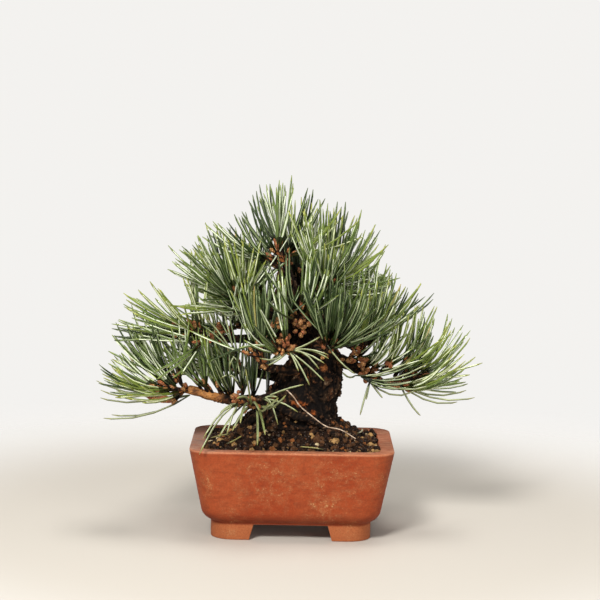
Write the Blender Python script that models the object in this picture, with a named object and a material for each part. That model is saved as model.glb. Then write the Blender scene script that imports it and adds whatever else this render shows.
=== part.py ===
"""Japanese white pine bonsai in its clay pot.

A small, very thick-trunked pine, about 210 mm high and 235 mm across its
needles, stands in a rectangular pot of unglazed red-brown clay with four
corner feet. The pot holds a mound of coarse soil. The trunk is cut flat where
it meets the soil, leans right above its flare, turns back and runs up through
the foliage to its tip. Boughs leave it all round. Each bough ends where it
enters its mass of foliage: one stem, the shoots that branch from it, and a
tuft of stiff needles on the end of every shoot.

Units are metres and +Z is up. The pot is modelled around X = Y = 0 with its
long side along X and its front at -Y. At the end an empty carries everything
sideways, so that the origin lies under the middle of the whole plant.
"""
import math
import random
from collections import namedtuple

import bmesh
import bpy
import numpy as np
from mathutils import Matrix, Vector, kdtree

# Gap that neighbouring pieces keep
CLEARANCE = 0.0003

# Pot: rounded rectangle, measured over the rim
POT_WIDTH = 0.122
POT_DEPTH = 0.092
POT_HEIGHT = 0.055
POT_CORNER = 0.0135
RIM_WIDTH = 0.0085
RIM_EDGE = 0.0010
SIDE_TAPER = 0.195
FRONT_TAPER = 0.160
LOWER_ROUND = 0.0080
FOOT_HEIGHT = 0.0095
FOOT_THICKNESS = 0.0070
FOOT_INSET = 0.0002
FOOT_EDGE = 0.0006
FOOT_CAVITY = 0.0003
FRONT_FOOT_GAP = 0.0440
SIDE_FOOT_GAP = 0.0380
FOOT_SLANT = 0.0034
FLOOR_THICKNESS = 0.0060
DRAIN_RADIUS = 0.0055
DRAIN_SPACING = 0.0480
CORNER_STEPS = 5

# Soil: level just under the rim, rising to a flat seat under the trunk
SOIL_EDGE_HEIGHT = 0.0515
GROUND_HEIGHT = 0.0640
SEAT_HALF_WIDTH = 0.0350
SEAT_HALF_DEPTH = 0.0268
MOUND_CURVE = 1.35
MOUND_STEPS = 4

# Trunk stations: centre x, centre y, height, half width
TRUNK_STATIONS = (
    (-0.0010, 0.0010, 0.0640, 0.0310),
    (0.0000, 0.0010, 0.0690, 0.0270),
    (0.0020, 0.0010, 0.0765, 0.0240),
    (0.0080, 0.0010, 0.0880, 0.0205),
    (0.0125, 0.0010, 0.1000, 0.0168),
    (0.0115, 0.0005, 0.1120, 0.0140),
    (0.0060, 0.0000, 0.1250, 0.0115),
    (0.0000, 0.0010, 0.1370, 0.0095),
    (-0.0030, 0.0020, 0.1460, 0.0078),
    (-0.0050, 0.0030, 0.1540, 0.0055),
    (-0.0055, 0.0030, 0.1590, 0.0032),
)
TRUNK_SIDES = 20
TRUNK_DEPTH_RATIO = 0.75
ROOT_COUNT = 5
ROOT_SWELL = 0.10
ROOT_TURN = math.radians(20)
FLARE_HEIGHT = 0.0160

# Limbs
LIMB_SIDES = 8
LIMB_STATIONS = 6
STEM_SIDES = 6
STEM_STATIONS = 4
STEM_RADIUS = 0.0020
TWIG_SIDES = 3
TWIG_RADIUS = 0.0013
TWIG_TIP_RADIUS = 0.0010

# Tufts of needles
CORE_RADIUS = 0.0024
CORE_HALF_LENGTH = 0.0050
NEEDLE_BASE_RADIUS = 0.0013
NEEDLE_TIP_RADIUS = 0.0004
NEEDLE_TRIES = (1.0, 0.85, 0.7, 0.55)
NEEDLE_OPENING = (math.radians(12), math.radians(34), math.radians(52))
NEEDLE_JITTER = math.radians(5)
GOLDEN_ANGLE = math.pi * (3 - math.sqrt(5))
STEM_BEND = 0.4
SHOOT_UPTURN = 0.12
SHOOT_DROOP = 0.3
SHOOT_TURN_JITTER = 0.3
SHOOT_LENGTH_JITTER = 0.15
NEEDLE_DROOP = 0.4
FIRST_SHOOT = 0.3
LEAST_FORWARD = 0.35
SITE_SPACING = 0.0015
NEEDLE_SEED = 100

# Each bough: the height where it leaves the trunk's middle line, its elbow,
# its tip, and its radius at both ends
Bough = namedtuple("Bough", "leaves_at elbow tip thick thin")
BOUGHS = {
    "low_left": Bough(0.079, (-0.040, -0.006, 0.077), (-0.056, -0.008, 0.084), 0.0044, 0.0024),
    "low_front": Bough(0.083, (-0.012, -0.018, 0.086), (-0.022, -0.025, 0.082), 0.0034, 0.0022),
    "inner_left": Bough(0.097, (-0.006, -0.018, 0.100), (-0.018, -0.026, 0.103), 0.0036, 0.0022),
    "mid_left": Bough(0.111, (-0.020, -0.004, 0.119), (-0.048, -0.008, 0.116), 0.0040, 0.0023),
    "upper_left": Bough(0.126, (-0.014, -0.003, 0.131), (-0.026, -0.006, 0.134), 0.0036, 0.0022),
    "front": Bough(0.112, (0.002, -0.016, 0.114), (-0.004, -0.026, 0.113), 0.0036, 0.0023),
    "upper_front": Bough(0.125, (0.004, -0.010, 0.126), (0.004, -0.018, 0.127), 0.0030, 0.0021),
    "front_right": Bough(0.116, (0.014, -0.016, 0.112), (0.019, -0.024, 0.110), 0.0034, 0.0022),
    "mid_right": Bough(0.120, (0.026, -0.005, 0.119), (0.038, -0.008, 0.112), 0.0036, 0.0022),
    "low_right": Bough(0.107, (0.034, -0.002, 0.105), (0.054, -0.003, 0.091), 0.0052, 0.0026),
    "upper_right": Bough(0.130, (0.008, -0.003, 0.137), (0.013, -0.004, 0.144), 0.0038, 0.0023),
    "back_left": Bough(0.117, (-0.012, 0.018, 0.120), (-0.024, 0.026, 0.119), 0.0038, 0.0022),
    "back_right": Bough(0.111, (0.024, 0.016, 0.114), (0.032, 0.026, 0.113), 0.0038, 0.0022),
    "back_upper_left": Bough(0.127, (-0.007, 0.012, 0.130), (-0.016, 0.019, 0.133), 0.0032, 0.0021),
    "back_upper_right": Bough(0.121, (0.014, 0.012, 0.125), (0.022, 0.018, 0.129), 0.0032, 0.0021),
    "back_high": Bough(0.136, (0.001, 0.012, 0.140), (0.002, 0.019, 0.143), 0.0032, 0.0021),
    "back_middle": Bough(0.103, (0.008, 0.022, 0.108), (0.004, 0.036, 0.108), 0.0038, 0.0023),
    "back_low": Bough(0.091, (-0.020, 0.016, 0.092), (-0.034, 0.024, 0.093), 0.0038, 0.0022),
}

# Each mass of foliage: the way its stem leans, the stem's length, how many
# shoots leave it, how far they spread, their length, the needles' length and
# the seed of the rule. The mass "apex" grows on the trunk's tip.
Mass = namedtuple("Mass", "lean stem shoots spread shoot needle seed")
MASSES = {
    "apex": Mass((-0.42, -0.10, 0.9), 0.007, 7, 66, 0.009, 0.037, 3),
    "low_left": Mass((-1.0, -0.08, 0.10), 0.019, 7, 48, 0.009, 0.034, 5),
    "low_front": Mass((-0.2, -0.8, -0.10), 0.004, 3, 75, 0.008, 0.026, 8),
    "inner_left": Mass((-0.15, -0.15, 1.0), 0.007, 4, 48, 0.009, 0.036, 2),
    "mid_left": Mass((-1.0, -0.10, 0.30), 0.008, 6, 52, 0.009, 0.037, 4),
    "upper_left": Mass((-0.80, -0.10, 0.65), 0.009, 6, 55, 0.009, 0.036, 6),
    "front": Mass((-0.1, -0.9, 0.25), 0.005, 4, 62, 0.008, 0.032, 7),
    "upper_front": Mass((0.1, -0.5, 0.9), 0.005, 4, 50, 0.008, 0.034, 10),
    "front_right": Mass((0.25, -0.4, 0.9), 0.006, 4, 50, 0.009, 0.034, 9),
    "mid_right": Mass((0.40, -0.15, 0.85), 0.007, 5, 48, 0.009, 0.035, 11),
    "low_right": Mass((1.0, -0.05, 0.18), 0.016, 7, 48, 0.009, 0.034, 12),
    "upper_right": Mass((0.55, -0.10, 0.80), 0.007, 5, 55, 0.009, 0.036, 13),
    "back_left": Mass((-0.7, 0.65, 0.45), 0.008, 5, 58, 0.009, 0.036, 14),
    "back_right": Mass((0.65, 0.65, 0.40), 0.009, 5, 60, 0.009, 0.036, 15),
    "back_upper_left": Mass((-0.5, 0.6, 0.6), 0.006, 4, 55, 0.009, 0.035, 20),
    "back_upper_right": Mass((0.55, 0.6, 0.6), 0.006, 4, 55, 0.009, 0.035, 21),
    "back_high": Mass((0.10, 0.75, 0.65), 0.006, 4, 58, 0.009, 0.035, 16),
    "back_middle": Mass((-0.05, 1.0, 0.25), 0.007, 5, 60, 0.009, 0.034, 17),
    "back_low": Mass((-0.75, 0.55, 0.15), 0.008, 4, 55, 0.009, 0.034, 18),
}

# Needles keep this far above the rim, the soil's seat and the floor
RIM_HEADROOM = 0.0060
SEAT_HEADROOM = 0.0030
SEAT_REACH = 1.3
FLOOR_HEADROOM = 0.0400

# How closely limbs and needles are looked at to keep them apart
TRUNK_SAMPLES = 6
NEEDLE_SAMPLES = 5

# Finishes: base colour, roughness
FINISHES = {
    "clay": ((0.39, 0.098, 0.040), 0.80),
    "soil": ((0.030, 0.018, 0.011), 0.95),
    "bark": ((0.034, 0.023, 0.018), 0.92),
    "needles": ((0.072, 0.135, 0.050), 0.60),
}


def clear_scene():
    for item in list(bpy.data.objects):
        bpy.data.objects.remove(item, do_unlink=True)


def make_material(name, finish):
    colour, roughness = FINISHES[finish]
    material = bpy.data.materials.new(name + "_" + finish)
    material.use_nodes = True
    shader = material.node_tree.nodes["Principled BSDF"]
    shader.inputs["Base Color"].default_value = (*colour, 1.0)
    shader.inputs["Roughness"].default_value = roughness
    shader.inputs["Metallic"].default_value = 0.0
    return material


def make_object(name, bm, finish=None, smooth_below=None):
    """Turn a bmesh into a named object with its own material."""
    mesh = bpy.data.meshes.new(name)
    bm.to_mesh(mesh)
    bm.free()
    piece = bpy.data.objects.new(name, mesh)
    bpy.context.scene.collection.objects.link(piece)
    if finish:
        mesh.materials.append(make_material(name, finish))
    if smooth_below:
        mesh.shade_smooth()
        mesh.set_sharp_from_angle(angle=math.radians(smooth_below))
    return piece


def loft(rings):
    """A closed body: a flat face drawn out through rings with as many points each."""
    bm = bmesh.new()
    end = bm.faces.new([bm.verts.new(point) for point in rings[0]])
    for ring in rings[1:]:
        end = bmesh.ops.extrude_discrete_faces(bm, faces=[end])["faces"][0]
        for vert, point in zip(end.verts, ring):
            vert.co = point
    open_edges = [edge for edge in bm.edges if edge.is_boundary]
    bmesh.ops.holes_fill(bm, edges=open_edges, sides=0)
    bmesh.ops.recalc_face_normals(bm, faces=bm.faces)
    return bm


def rounded_ring(half_width, half_depth, corner, height):
    """Points round a rectangle with round corners, anticlockwise from +X."""
    points = []
    for quarter in range(4):
        sign_x = 1 if quarter in (0, 3) else -1
        sign_y = 1 if quarter in (0, 1) else -1
        middle = Vector((sign_x * (half_width - corner), sign_y * (half_depth - corner), height))
        for step in range(CORNER_STEPS + 1):
            angle = math.pi / 2 * (quarter + step / CORNER_STEPS)
            points.append(middle + corner * Vector((math.cos(angle), math.sin(angle), 0)))
    return points


def wall_ring(height, inset, corner):
    """A ring on the pot's tapered wall, moved inwards by the inset."""
    drop = POT_HEIGHT - height
    half_width = POT_WIDTH / 2 - SIDE_TAPER * drop - inset
    half_depth = POT_DEPTH / 2 - FRONT_TAPER * drop - inset
    return rounded_ring(half_width, half_depth, corner, height)


def pot_rings():
    """From the feet's inner side round the outside and over the rim to the floor."""
    foot_inset = LOWER_ROUND / 2 + FOOT_INSET
    rings = [
        wall_ring(FOOT_HEIGHT + FOOT_CAVITY, foot_inset + FOOT_THICKNESS, POT_CORNER / 3),
        flat_foot_ring(0.0, foot_inset + FOOT_THICKNESS, POT_CORNER / 3),
        flat_foot_ring(0.0, foot_inset + FOOT_EDGE, POT_CORNER - FOOT_EDGE),
        flat_foot_ring(FOOT_EDGE, foot_inset, POT_CORNER),
        flat_foot_ring(FOOT_HEIGHT, foot_inset, POT_CORNER),
    ]
    for degrees in (60, 40, 20, 0):
        turn = math.radians(degrees)
        height = FOOT_HEIGHT + LOWER_ROUND * (1 - math.sin(turn))
        rings.append(wall_ring(height, LOWER_ROUND * (1 - math.cos(turn)), POT_CORNER))
    rings.append(wall_ring(POT_HEIGHT - RIM_EDGE, 0.0, POT_CORNER))
    rings.append(wall_ring(POT_HEIGHT, RIM_EDGE, POT_CORNER - RIM_EDGE))
    rings += inner_rings(0.0, POT_HEIGHT, FOOT_HEIGHT + FLOOR_THICKNESS)
    return rings


def flat_foot_ring(height, inset, corner):
    """A ring on the feet, whose outer faces stand upright."""
    ring = wall_ring(FOOT_HEIGHT, inset, corner)
    return [Vector((point.x, point.y, height)) for point in ring]


def inner_rings(gap, top, bottom):
    """Two rings on the pot's inner wall, with a gap to it."""
    corner = POT_CORNER / 2
    return [
        wall_ring(top, RIM_WIDTH + gap, corner),
        wall_ring(bottom, RIM_WIDTH + gap, corner),
    ]


def make_foot_cutter(name, gap, length, along_x):
    """A prism with slanting ends that clears the space between two feet."""
    outline = [
        (-gap / 2, FOOT_HEIGHT),
        (gap / 2, FOOT_HEIGHT),
        (gap / 2 + FOOT_SLANT, -FOOT_HEIGHT / 4),
        (-gap / 2 - FOOT_SLANT, -FOOT_HEIGHT / 4),
    ]
    ends = []
    for across in (-length / 2, length / 2):
        if along_x:
            ends.append([Vector((u, across, v)) for u, v in outline])
        else:
            ends.append([Vector((across, u, v)) for u, v in outline])
    return make_cutter(name, loft(ends))


def make_drain_cutter():
    bm = bmesh.new()
    for side in (-1, 1):
        place = Matrix.Translation((side * DRAIN_SPACING / 2, 0, FOOT_HEIGHT + FLOOR_THICKNESS / 2))
        bmesh.ops.create_cone(
            bm, cap_ends=True, segments=16, radius1=DRAIN_RADIUS, radius2=DRAIN_RADIUS,
            depth=FLOOR_THICKNESS * 2, matrix=place)
    return make_cutter("drain_cutter", bm)


def make_cutter(name, bm):
    cutter = make_object(name, bm)
    cutter.hide_render = True
    cutter.display_type = "WIRE"
    return cutter


def cut_away(piece, cutter):
    cut = piece.modifiers.new(cutter.name, "BOOLEAN")
    cut.operation = "DIFFERENCE"
    cut.object = cutter


def make_pot():
    pot = make_object("pot", loft(pot_rings()), "clay", smooth_below=35)
    cut_away(pot, make_foot_cutter("front_gap_cutter", FRONT_FOOT_GAP, POT_DEPTH, True))
    cut_away(pot, make_foot_cutter("side_gap_cutter", SIDE_FOOT_GAP, POT_WIDTH, False))
    cut_away(pot, make_drain_cutter())
    return pot


def mound_ring(share):
    """A ring on the soil's top: 0 at the pot's wall, 1 at the trunk's seat."""
    edge = wall_ring(SOIL_EDGE_HEIGHT, RIM_WIDTH + CLEARANCE, POT_CORNER / 2)
    rise = GROUND_HEIGHT - CLEARANCE - SOIL_EDGE_HEIGHT
    points = []
    for point in edge:
        turn = math.atan2(point.y / SEAT_HALF_DEPTH, point.x / SEAT_HALF_WIDTH)
        seat = Vector((SEAT_HALF_WIDTH * math.cos(turn), SEAT_HALF_DEPTH * math.sin(turn), 0))
        flat = point.lerp(seat, share)
        points.append(Vector((flat.x, flat.y, SOIL_EDGE_HEIGHT + rise * share ** MOUND_CURVE)))
    return points


def make_soil():
    floor = FOOT_HEIGHT + FLOOR_THICKNESS + CLEARANCE
    wall = inner_rings(CLEARANCE, SOIL_EDGE_HEIGHT, floor)
    rings = [wall[1]] + [mound_ring(step / MOUND_STEPS) for step in range(MOUND_STEPS + 1)]
    return make_object("soil", loft(rings), "soil", smooth_below=50)


def trunk_ring(station, grow=0.0):
    """A level ring round the trunk, swollen into roots near the ground."""
    x, y, height, half_width = station
    flare = max(0.0, 1 - (height - GROUND_HEIGHT) / FLARE_HEIGHT)
    points = []
    for side in range(TRUNK_SIDES):
        angle = math.tau * side / TRUNK_SIDES
        radius = half_width * (1 + ROOT_SWELL * flare * math.cos(ROOT_COUNT * (angle - ROOT_TURN)))
        across = (radius + grow) * math.cos(angle)
        depth = (radius * TRUNK_DEPTH_RATIO + grow) * math.sin(angle)
        points.append(Vector((x + across, y + depth, height)))
    return points


def make_trunk():
    rings = [trunk_ring(station) for station in TRUNK_STATIONS]
    return make_object("trunk", loft(rings), "bark", smooth_below=50)


def make_trunk_cutter():
    """The trunk grown by the clearance, which seats the boughs on it."""
    rings = [trunk_ring(station, CLEARANCE) for station in TRUNK_STATIONS]
    return make_cutter("trunk_cutter", loft(rings))


def trunk_middle(height):
    """The trunk's middle line at a height."""
    heights = [station[2] for station in TRUNK_STATIONS]
    x = np.interp(height, heights, [station[0] for station in TRUNK_STATIONS])
    y = np.interp(height, heights, [station[1] for station in TRUNK_STATIONS])
    return Vector((x, y, height))


def trunk_tip():
    """The middle of the trunk's top and the way that it points."""
    top = Vector(TRUNK_STATIONS[-1][:3])
    return top, Vector((0, 0, 1))


def curve_point(start, bend, end, share):
    """A point on the smooth curve from start to end that the bend pulls."""
    first = start.lerp(bend, share)
    second = bend.lerp(end, share)
    return first.lerp(second, share)


def limb_points(start, bend, end, stations):
    steps = range(stations)
    return [curve_point(start, bend, end, step / (stations - 1)) for step in steps]


def limb_rings(points, thick, thin, sides, first_way=None):
    """Rings square to a limb, which tapers from its thick to its thin radius."""
    last = len(points) - 1
    across = (points[1] - points[0]).orthogonal().normalized()
    rings = []
    for number, point in enumerate(points):
        forward = (points[min(number + 1, last)] - points[max(number - 1, 0)]).normalized()
        if number == 0 and first_way:
            forward = first_way
        across = (across - forward * across.dot(forward)).normalized()
        beside = forward.cross(across)
        radius = thick + (thin - thick) * number / last
        rings.append([
            point + radius * (across * math.cos(angle) + beside * math.sin(angle))
            for angle in (math.tau * side / sides for side in range(sides))])
    return rings


def bough_points(name):
    bough = BOUGHS[name]
    start = trunk_middle(bough.leaves_at)
    return limb_points(start, Vector(bough.elbow), Vector(bough.tip), LIMB_STATIONS)


def make_bough(name, trunk_cutter):
    bough = BOUGHS[name]
    rings = limb_rings(bough_points(name), bough.thick, bough.thin, LIMB_SIDES)
    piece = make_object("bough_" + name, loft(rings), "bark", smooth_below=60)
    cut_away(piece, trunk_cutter)
    return piece


def mass_root(name):
    """Where a mass's stem starts, just clear of what carries it, and its way."""
    if name == "apex":
        tip, forward = trunk_tip()
    else:
        points = bough_points(name)
        tip = points[-1]
        forward = (points[-1] - points[-2]).normalized()
    return tip + forward * CLEARANCE, forward


def grow_mass(name):
    """The stem and the shoots of one mass, by the rule that all masses follow.

    Shoots leave the stem one golden angle apart. The first ones spread widest
    and the last one carries the stem on. None turns back along the bough, and
    all turn up a little.
    """
    mass = MASSES[name]
    dice = random.Random(mass.seed)
    start, forward = mass_root(name)
    lean = Vector(mass.lean).normalized()
    end = start + lean * mass.stem
    bend = start + forward * mass.stem * STEM_BEND
    stem = limb_points(start, bend, end, STEM_STATIONS)
    across = lean.orthogonal().normalized()
    shoots = []
    for number in range(mass.shoots):
        share = (number + 1) / mass.shoots
        root = curve_point(start, bend, end, FIRST_SHOOT + (1 - FIRST_SHOOT) * share)
        turn = number * GOLDEN_ANGLE + dice.uniform(-SHOOT_TURN_JITTER, SHOOT_TURN_JITTER)
        tilt = math.radians(mass.spread) * math.sqrt(1 - share)
        side = Matrix.Rotation(turn, 3, lean) @ across
        way = lean * math.cos(tilt) + side * math.sin(tilt)
        turned_back = max(0.0, LEAST_FORWARD - way.dot(forward))
        way = (way + forward * turned_back + Vector((0, 0, SHOOT_UPTURN))).normalized()
        if way.z < 0:
            way = Vector((way.x, way.y, way.z * SHOOT_DROOP)).normalized()
        length = mass.shoot * (1 + dice.uniform(-SHOOT_LENGTH_JITTER, SHOOT_LENGTH_JITTER))
        shoots.append((root, root + way * length, way))
    return stem, shoots


def line_sites(start, end):
    """Points along a line, one site spacing apart."""
    count = max(2, int((end - start).length / SITE_SPACING))
    return [start.lerp(end, step / count) for step in range(count + 1)]


def shoot_sites(shoot):
    root, tip, way = shoot
    return line_sites(root, tip + way * CORE_HALF_LENGTH)


def mass_sites(stem, shoots):
    """Points on a mass's wood, which its own space lies round."""
    sites = [point for pair in zip(stem, stem[1:]) for point in line_sites(*pair)]
    for shoot in shoots:
        sites += shoot_sites(shoot)
    return sites


def build_tree(points):
    tree = kdtree.KDTree(len(points))
    for number, point in enumerate(points):
        tree.insert(point, number)
    tree.balance()
    return tree


class Space:
    """The room that a mass keeps to: nearer to its own wood than to another's."""

    def __init__(self, own_sites, other_sites, limb_samples):
        self.own = build_tree(own_sites)
        self.other = build_tree(other_sites)
        self.limb_places = np.array([place for place, radius in limb_samples])
        self.limb_radii = np.array([radius for place, radius in limb_samples])
        self.needle_points = []
        self.neighbours = None

    def start_tuft(self, other_shoots):
        """The wood and the needles of the mass's other shoots are in the way too."""
        wood = [site for shoot in other_shoots for site in shoot_sites(shoot)]
        self.neighbours = build_tree(wood + self.needle_points)

    def take(self, start, tip):
        self.needle_points += line_sites(start, tip)

    def holds(self, point, radius):
        own_distance = self.own.find(point)[2]
        other_distance = self.other.find(point)[2]
        if other_distance - own_distance < 2 * (radius + CLEARANCE):
            return False
        if self.neighbours.find(point)[2] < 2 * radius:
            return False
        gaps = np.linalg.norm(self.limb_places - np.array(point), axis=1) - self.limb_radii
        return gaps.min() > radius + 2 * CLEARANCE and above_pot(point, radius)


def above_pot(point, radius):
    """Needles stay above the floor, and over the pot above its rim and soil."""
    over_pot = abs(point.x) < POT_WIDTH / 2 + radius and abs(point.y) < POT_DEPTH / 2 + radius
    limit = POT_HEIGHT + RIM_HEADROOM if over_pot else FLOOR_HEADROOM
    near_seat = math.hypot(point.x / SEAT_HALF_WIDTH, point.y / SEAT_HALF_DEPTH) < SEAT_REACH
    if near_seat:
        limit = GROUND_HEIGHT + SEAT_HEADROOM
    return point.z - radius > limit


def limb_samples():
    """Points along the trunk and the boughs, with the radius there."""
    samples = []
    for lower, upper in zip(TRUNK_STATIONS, TRUNK_STATIONS[1:]):
        for step in range(TRUNK_SAMPLES):
            share = step / TRUNK_SAMPLES
            x, y, height, half_width = (a + (b - a) * share for a, b in zip(lower, upper))
            samples.append((Vector((x, y, height)), half_width))
    for name, bough in BOUGHS.items():
        points = bough_points(name)
        for number, pair in enumerate(zip(points, points[1:])):
            radius = bough.thick + (bough.thin - bough.thick) * number / (len(points) - 1)
            samples += [(point, radius) for point in line_sites(*pair)[:-1]]
    return samples


def needle_way(outward, axis, dice):
    """A needle leans away from its shoot, least at the tip and most at the root."""
    along = outward.dot(axis)
    beside = (outward - axis * along).normalized()
    row = 0 if along > 0.5 else 1 if along > 0 else 2
    opening = NEEDLE_OPENING[row] + dice.uniform(-NEEDLE_JITTER, NEEDLE_JITTER)
    turn = Matrix.Rotation(dice.uniform(-NEEDLE_JITTER, NEEDLE_JITTER), 3, axis)
    way = axis * math.cos(opening) + (turn @ beside) * math.sin(opening)
    if way.z < 0:
        way.z *= NEEDLE_DROOP
    return way.normalized()


def needle_length(start, way, length, space):
    """The longest try that stays in the space, or nothing."""
    for share in NEEDLE_TRIES:
        inside = True
        for step in range(1, NEEDLE_SAMPLES + 1):
            reach = step / NEEDLE_SAMPLES
            radius = NEEDLE_BASE_RADIUS + (NEEDLE_TIP_RADIUS - NEEDLE_BASE_RADIUS) * reach
            inside = inside and space.holds(start + way * length * share * reach, radius)
        if inside:
            return length * share
    return 0.0


def draw_out_needle(bm, face, tip):
    """Draw one face of the core out into a slim needle with a blunt tip."""
    middle = face.calc_center_median()
    size = max((vert.co - middle).length for vert in face.verts)
    drawn = bmesh.ops.extrude_discrete_faces(bm, faces=[face])["faces"][0]
    for vert in drawn.verts:
        vert.co = tip + (vert.co - middle) * (NEEDLE_TIP_RADIUS / size)


def make_tuft(shoot, needle, space, dice):
    """A slim core on a shoot's end, with needles drawn out of its faces."""
    root, tip, way = shoot
    bm = bmesh.new()
    turn = way.to_track_quat("Z", "Y").to_matrix().to_4x4()
    shape = Matrix.Diagonal((CORE_RADIUS, CORE_RADIUS, CORE_HALF_LENGTH, 1))
    bmesh.ops.create_icosphere(
        bm, subdivisions=1, radius=1.0, matrix=Matrix.Translation(tip) @ turn @ shape)
    unstretch = (turn @ shape).inverted()
    found = []
    for face in list(bm.faces):
        middle = face.calc_center_median()
        outward = turn.to_3x3() @ (unstretch @ (middle - tip)).normalized()
        if outward.dot(way) < -0.5:
            continue
        direction = needle_way(outward, way, dice)
        length = needle_length(middle, direction, needle, space)
        if length:
            found.append((middle, middle + direction * length))
            draw_out_needle(bm, face, middle + direction * length)
    for start, end in found:
        space.take(start, end)
    return bm


def make_twig(shoot):
    """A three-sided twig from the stem's middle into the tuft's core."""
    root, tip, way = shoot
    return loft(limb_rings([root, tip], TWIG_RADIUS, TWIG_TIP_RADIUS, TWIG_SIDES))


def face_shells(bm):
    """The sets of faces that hang together by their edges."""
    left = set(bm.faces)
    shells = []
    while left:
        waiting = [left.pop()]
        shell = set(waiting)
        while waiting:
            linked = {face for edge in waiting.pop().edges for face in edge.link_faces}
            new = linked - shell
            shell |= new
            waiting += new
        left -= shell
        shells.append(shell)
    return shells


def is_closed(mesh):
    """True where every edge lies between exactly two faces."""
    bm = bmesh.new()
    bm.from_mesh(mesh)
    closed = all(len(edge.link_faces) == 2 for edge in bm.edges)
    bm.free()
    return closed


def keep_one_body(mesh):
    """Drop loose scraps and fill sealed hollows: only the largest shell stays."""
    bm = bmesh.new()
    bm.from_mesh(mesh)
    shells = face_shells(bm)
    largest = max(shells, key=len)
    rest = [face for shell in shells if shell is not largest for face in shell]
    bmesh.ops.delete(bm, geom=rest, context="FACES")
    bm.to_mesh(mesh)
    bm.free()


def join_by_union(name, base, others, finish):
    """One Boolean union of a base and a collection, applied."""
    piece = make_object(name, base, finish)
    group = bpy.data.collections.new(name + "_parts")
    bpy.context.scene.collection.children.link(group)
    parts = [make_object(f"{name}_part_{number}", bm) for number, bm in enumerate(others)]
    for part in parts:
        bpy.context.scene.collection.objects.unlink(part)
        group.objects.link(part)
    union = piece.modifiers.new("union", "BOOLEAN")
    union.operation = "UNION"
    union.operand_type = "COLLECTION"
    union.collection = group
    for solver in ("EXACT", "MANIFOLD"):
        union.solver = solver
        graph = bpy.context.evaluated_depsgraph_get()
        joined = bpy.data.meshes.new_from_object(piece.evaluated_get(graph))
        if is_closed(joined):
            break
    piece.modifiers.remove(union)
    for part in parts:
        bpy.data.objects.remove(part, do_unlink=True)
    bpy.data.collections.remove(group)
    piece.data = joined
    piece.data.materials.clear()
    piece.data.materials.append(make_material(name, finish))
    keep_one_body(piece.data)
    return piece


def make_mass(name, growth, space):
    mass = MASSES[name]
    stem, shoots = growth
    dice = random.Random(mass.seed + NEEDLE_SEED)
    bough_way = mass_root(name)[1]
    base = loft(limb_rings(stem, STEM_RADIUS, TWIG_RADIUS, STEM_SIDES, bough_way))
    others = []
    for shoot in shoots:
        space.start_tuft([other for other in shoots if other is not shoot])
        others.append(make_twig(shoot))
        others.append(make_tuft(shoot, mass.needle, space, dice))
    return join_by_union("mass_" + name, base, others, "needles")


def make_masses():
    growths = {name: grow_mass(name) for name in MASSES}
    sites = {name: mass_sites(*growth) for name, growth in growths.items()}
    samples = limb_samples()
    pieces = []
    for name, growth in growths.items():
        others = [site for other in MASSES if other != name for site in sites[other]]
        pieces.append(make_mass(name, growth, Space(sites[name], others, samples)))
    return pieces


def centre_on_origin(pieces, cutters):
    """Parent everything to an empty that brings the plant's middle to X = Y = 0."""
    bpy.context.view_layer.update()
    corners = [vert.co for piece in pieces for vert in piece.data.vertices]
    middle_x = (min(corner.x for corner in corners) + max(corner.x for corner in corners)) / 2
    middle_y = (min(corner.y for corner in corners) + max(corner.y for corner in corners)) / 2
    anchor = bpy.data.objects.new("plant_middle", None)
    bpy.context.scene.collection.objects.link(anchor)
    anchor.location = (-middle_x, -middle_y, 0)
    for piece in pieces + cutters:
        piece.parent = anchor
    bpy.context.view_layer.update()


def main():
    clear_scene()
    pieces = [make_pot(), make_soil(), make_trunk()]
    trunk_cutter = make_trunk_cutter()
    pieces += [make_bough(name, trunk_cutter) for name in BOUGHS]
    pieces += make_masses()
    cutters = [item for item in bpy.data.objects if item.display_type == "WIRE"]
    centre_on_origin(pieces, cutters)


main()
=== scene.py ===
# %% [markdown]
# This lesson dresses a small white pine that is kept as a bonsai in a clay
# pot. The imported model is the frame: it says where the pot, the soil, the
# trunk, every bough and every mass of needles lie. Each is made again here as
# a finer mesh in the same place, apart from the soil, which stays as a bed for
# loose grains, and all of it gets the finish of the real thing.

# %% Load the frame
import math
import random
from collections import namedtuple

import bmesh
import bpy
import numpy as np
from mathutils import Matrix, Vector, bvhtree, noise


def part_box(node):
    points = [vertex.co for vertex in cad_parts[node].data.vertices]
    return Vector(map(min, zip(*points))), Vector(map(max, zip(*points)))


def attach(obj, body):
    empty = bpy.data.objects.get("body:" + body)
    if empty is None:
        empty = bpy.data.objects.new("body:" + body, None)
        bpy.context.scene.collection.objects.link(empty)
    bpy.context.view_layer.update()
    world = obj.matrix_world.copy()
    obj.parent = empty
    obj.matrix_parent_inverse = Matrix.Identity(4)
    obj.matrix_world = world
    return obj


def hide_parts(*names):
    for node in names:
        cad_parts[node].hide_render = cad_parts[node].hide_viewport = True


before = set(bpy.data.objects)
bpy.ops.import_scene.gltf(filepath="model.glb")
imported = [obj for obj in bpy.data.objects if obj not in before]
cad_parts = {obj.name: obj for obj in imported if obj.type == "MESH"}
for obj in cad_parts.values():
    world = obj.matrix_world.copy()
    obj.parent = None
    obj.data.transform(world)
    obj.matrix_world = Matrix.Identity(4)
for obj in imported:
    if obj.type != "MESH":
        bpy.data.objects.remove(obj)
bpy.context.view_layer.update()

POT_LOW, POT_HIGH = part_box("pot")
POT_MIDDLE = Vector(((POT_LOW.x + POT_HIGH.x) / 2, (POT_LOW.y + POT_HIGH.y) / 2, 0.0))
UP = Vector((0, 0, 1))
GOLDEN_ANGLE = math.pi * (3 - math.sqrt(5))
MILLIMETRES = 1000

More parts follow.
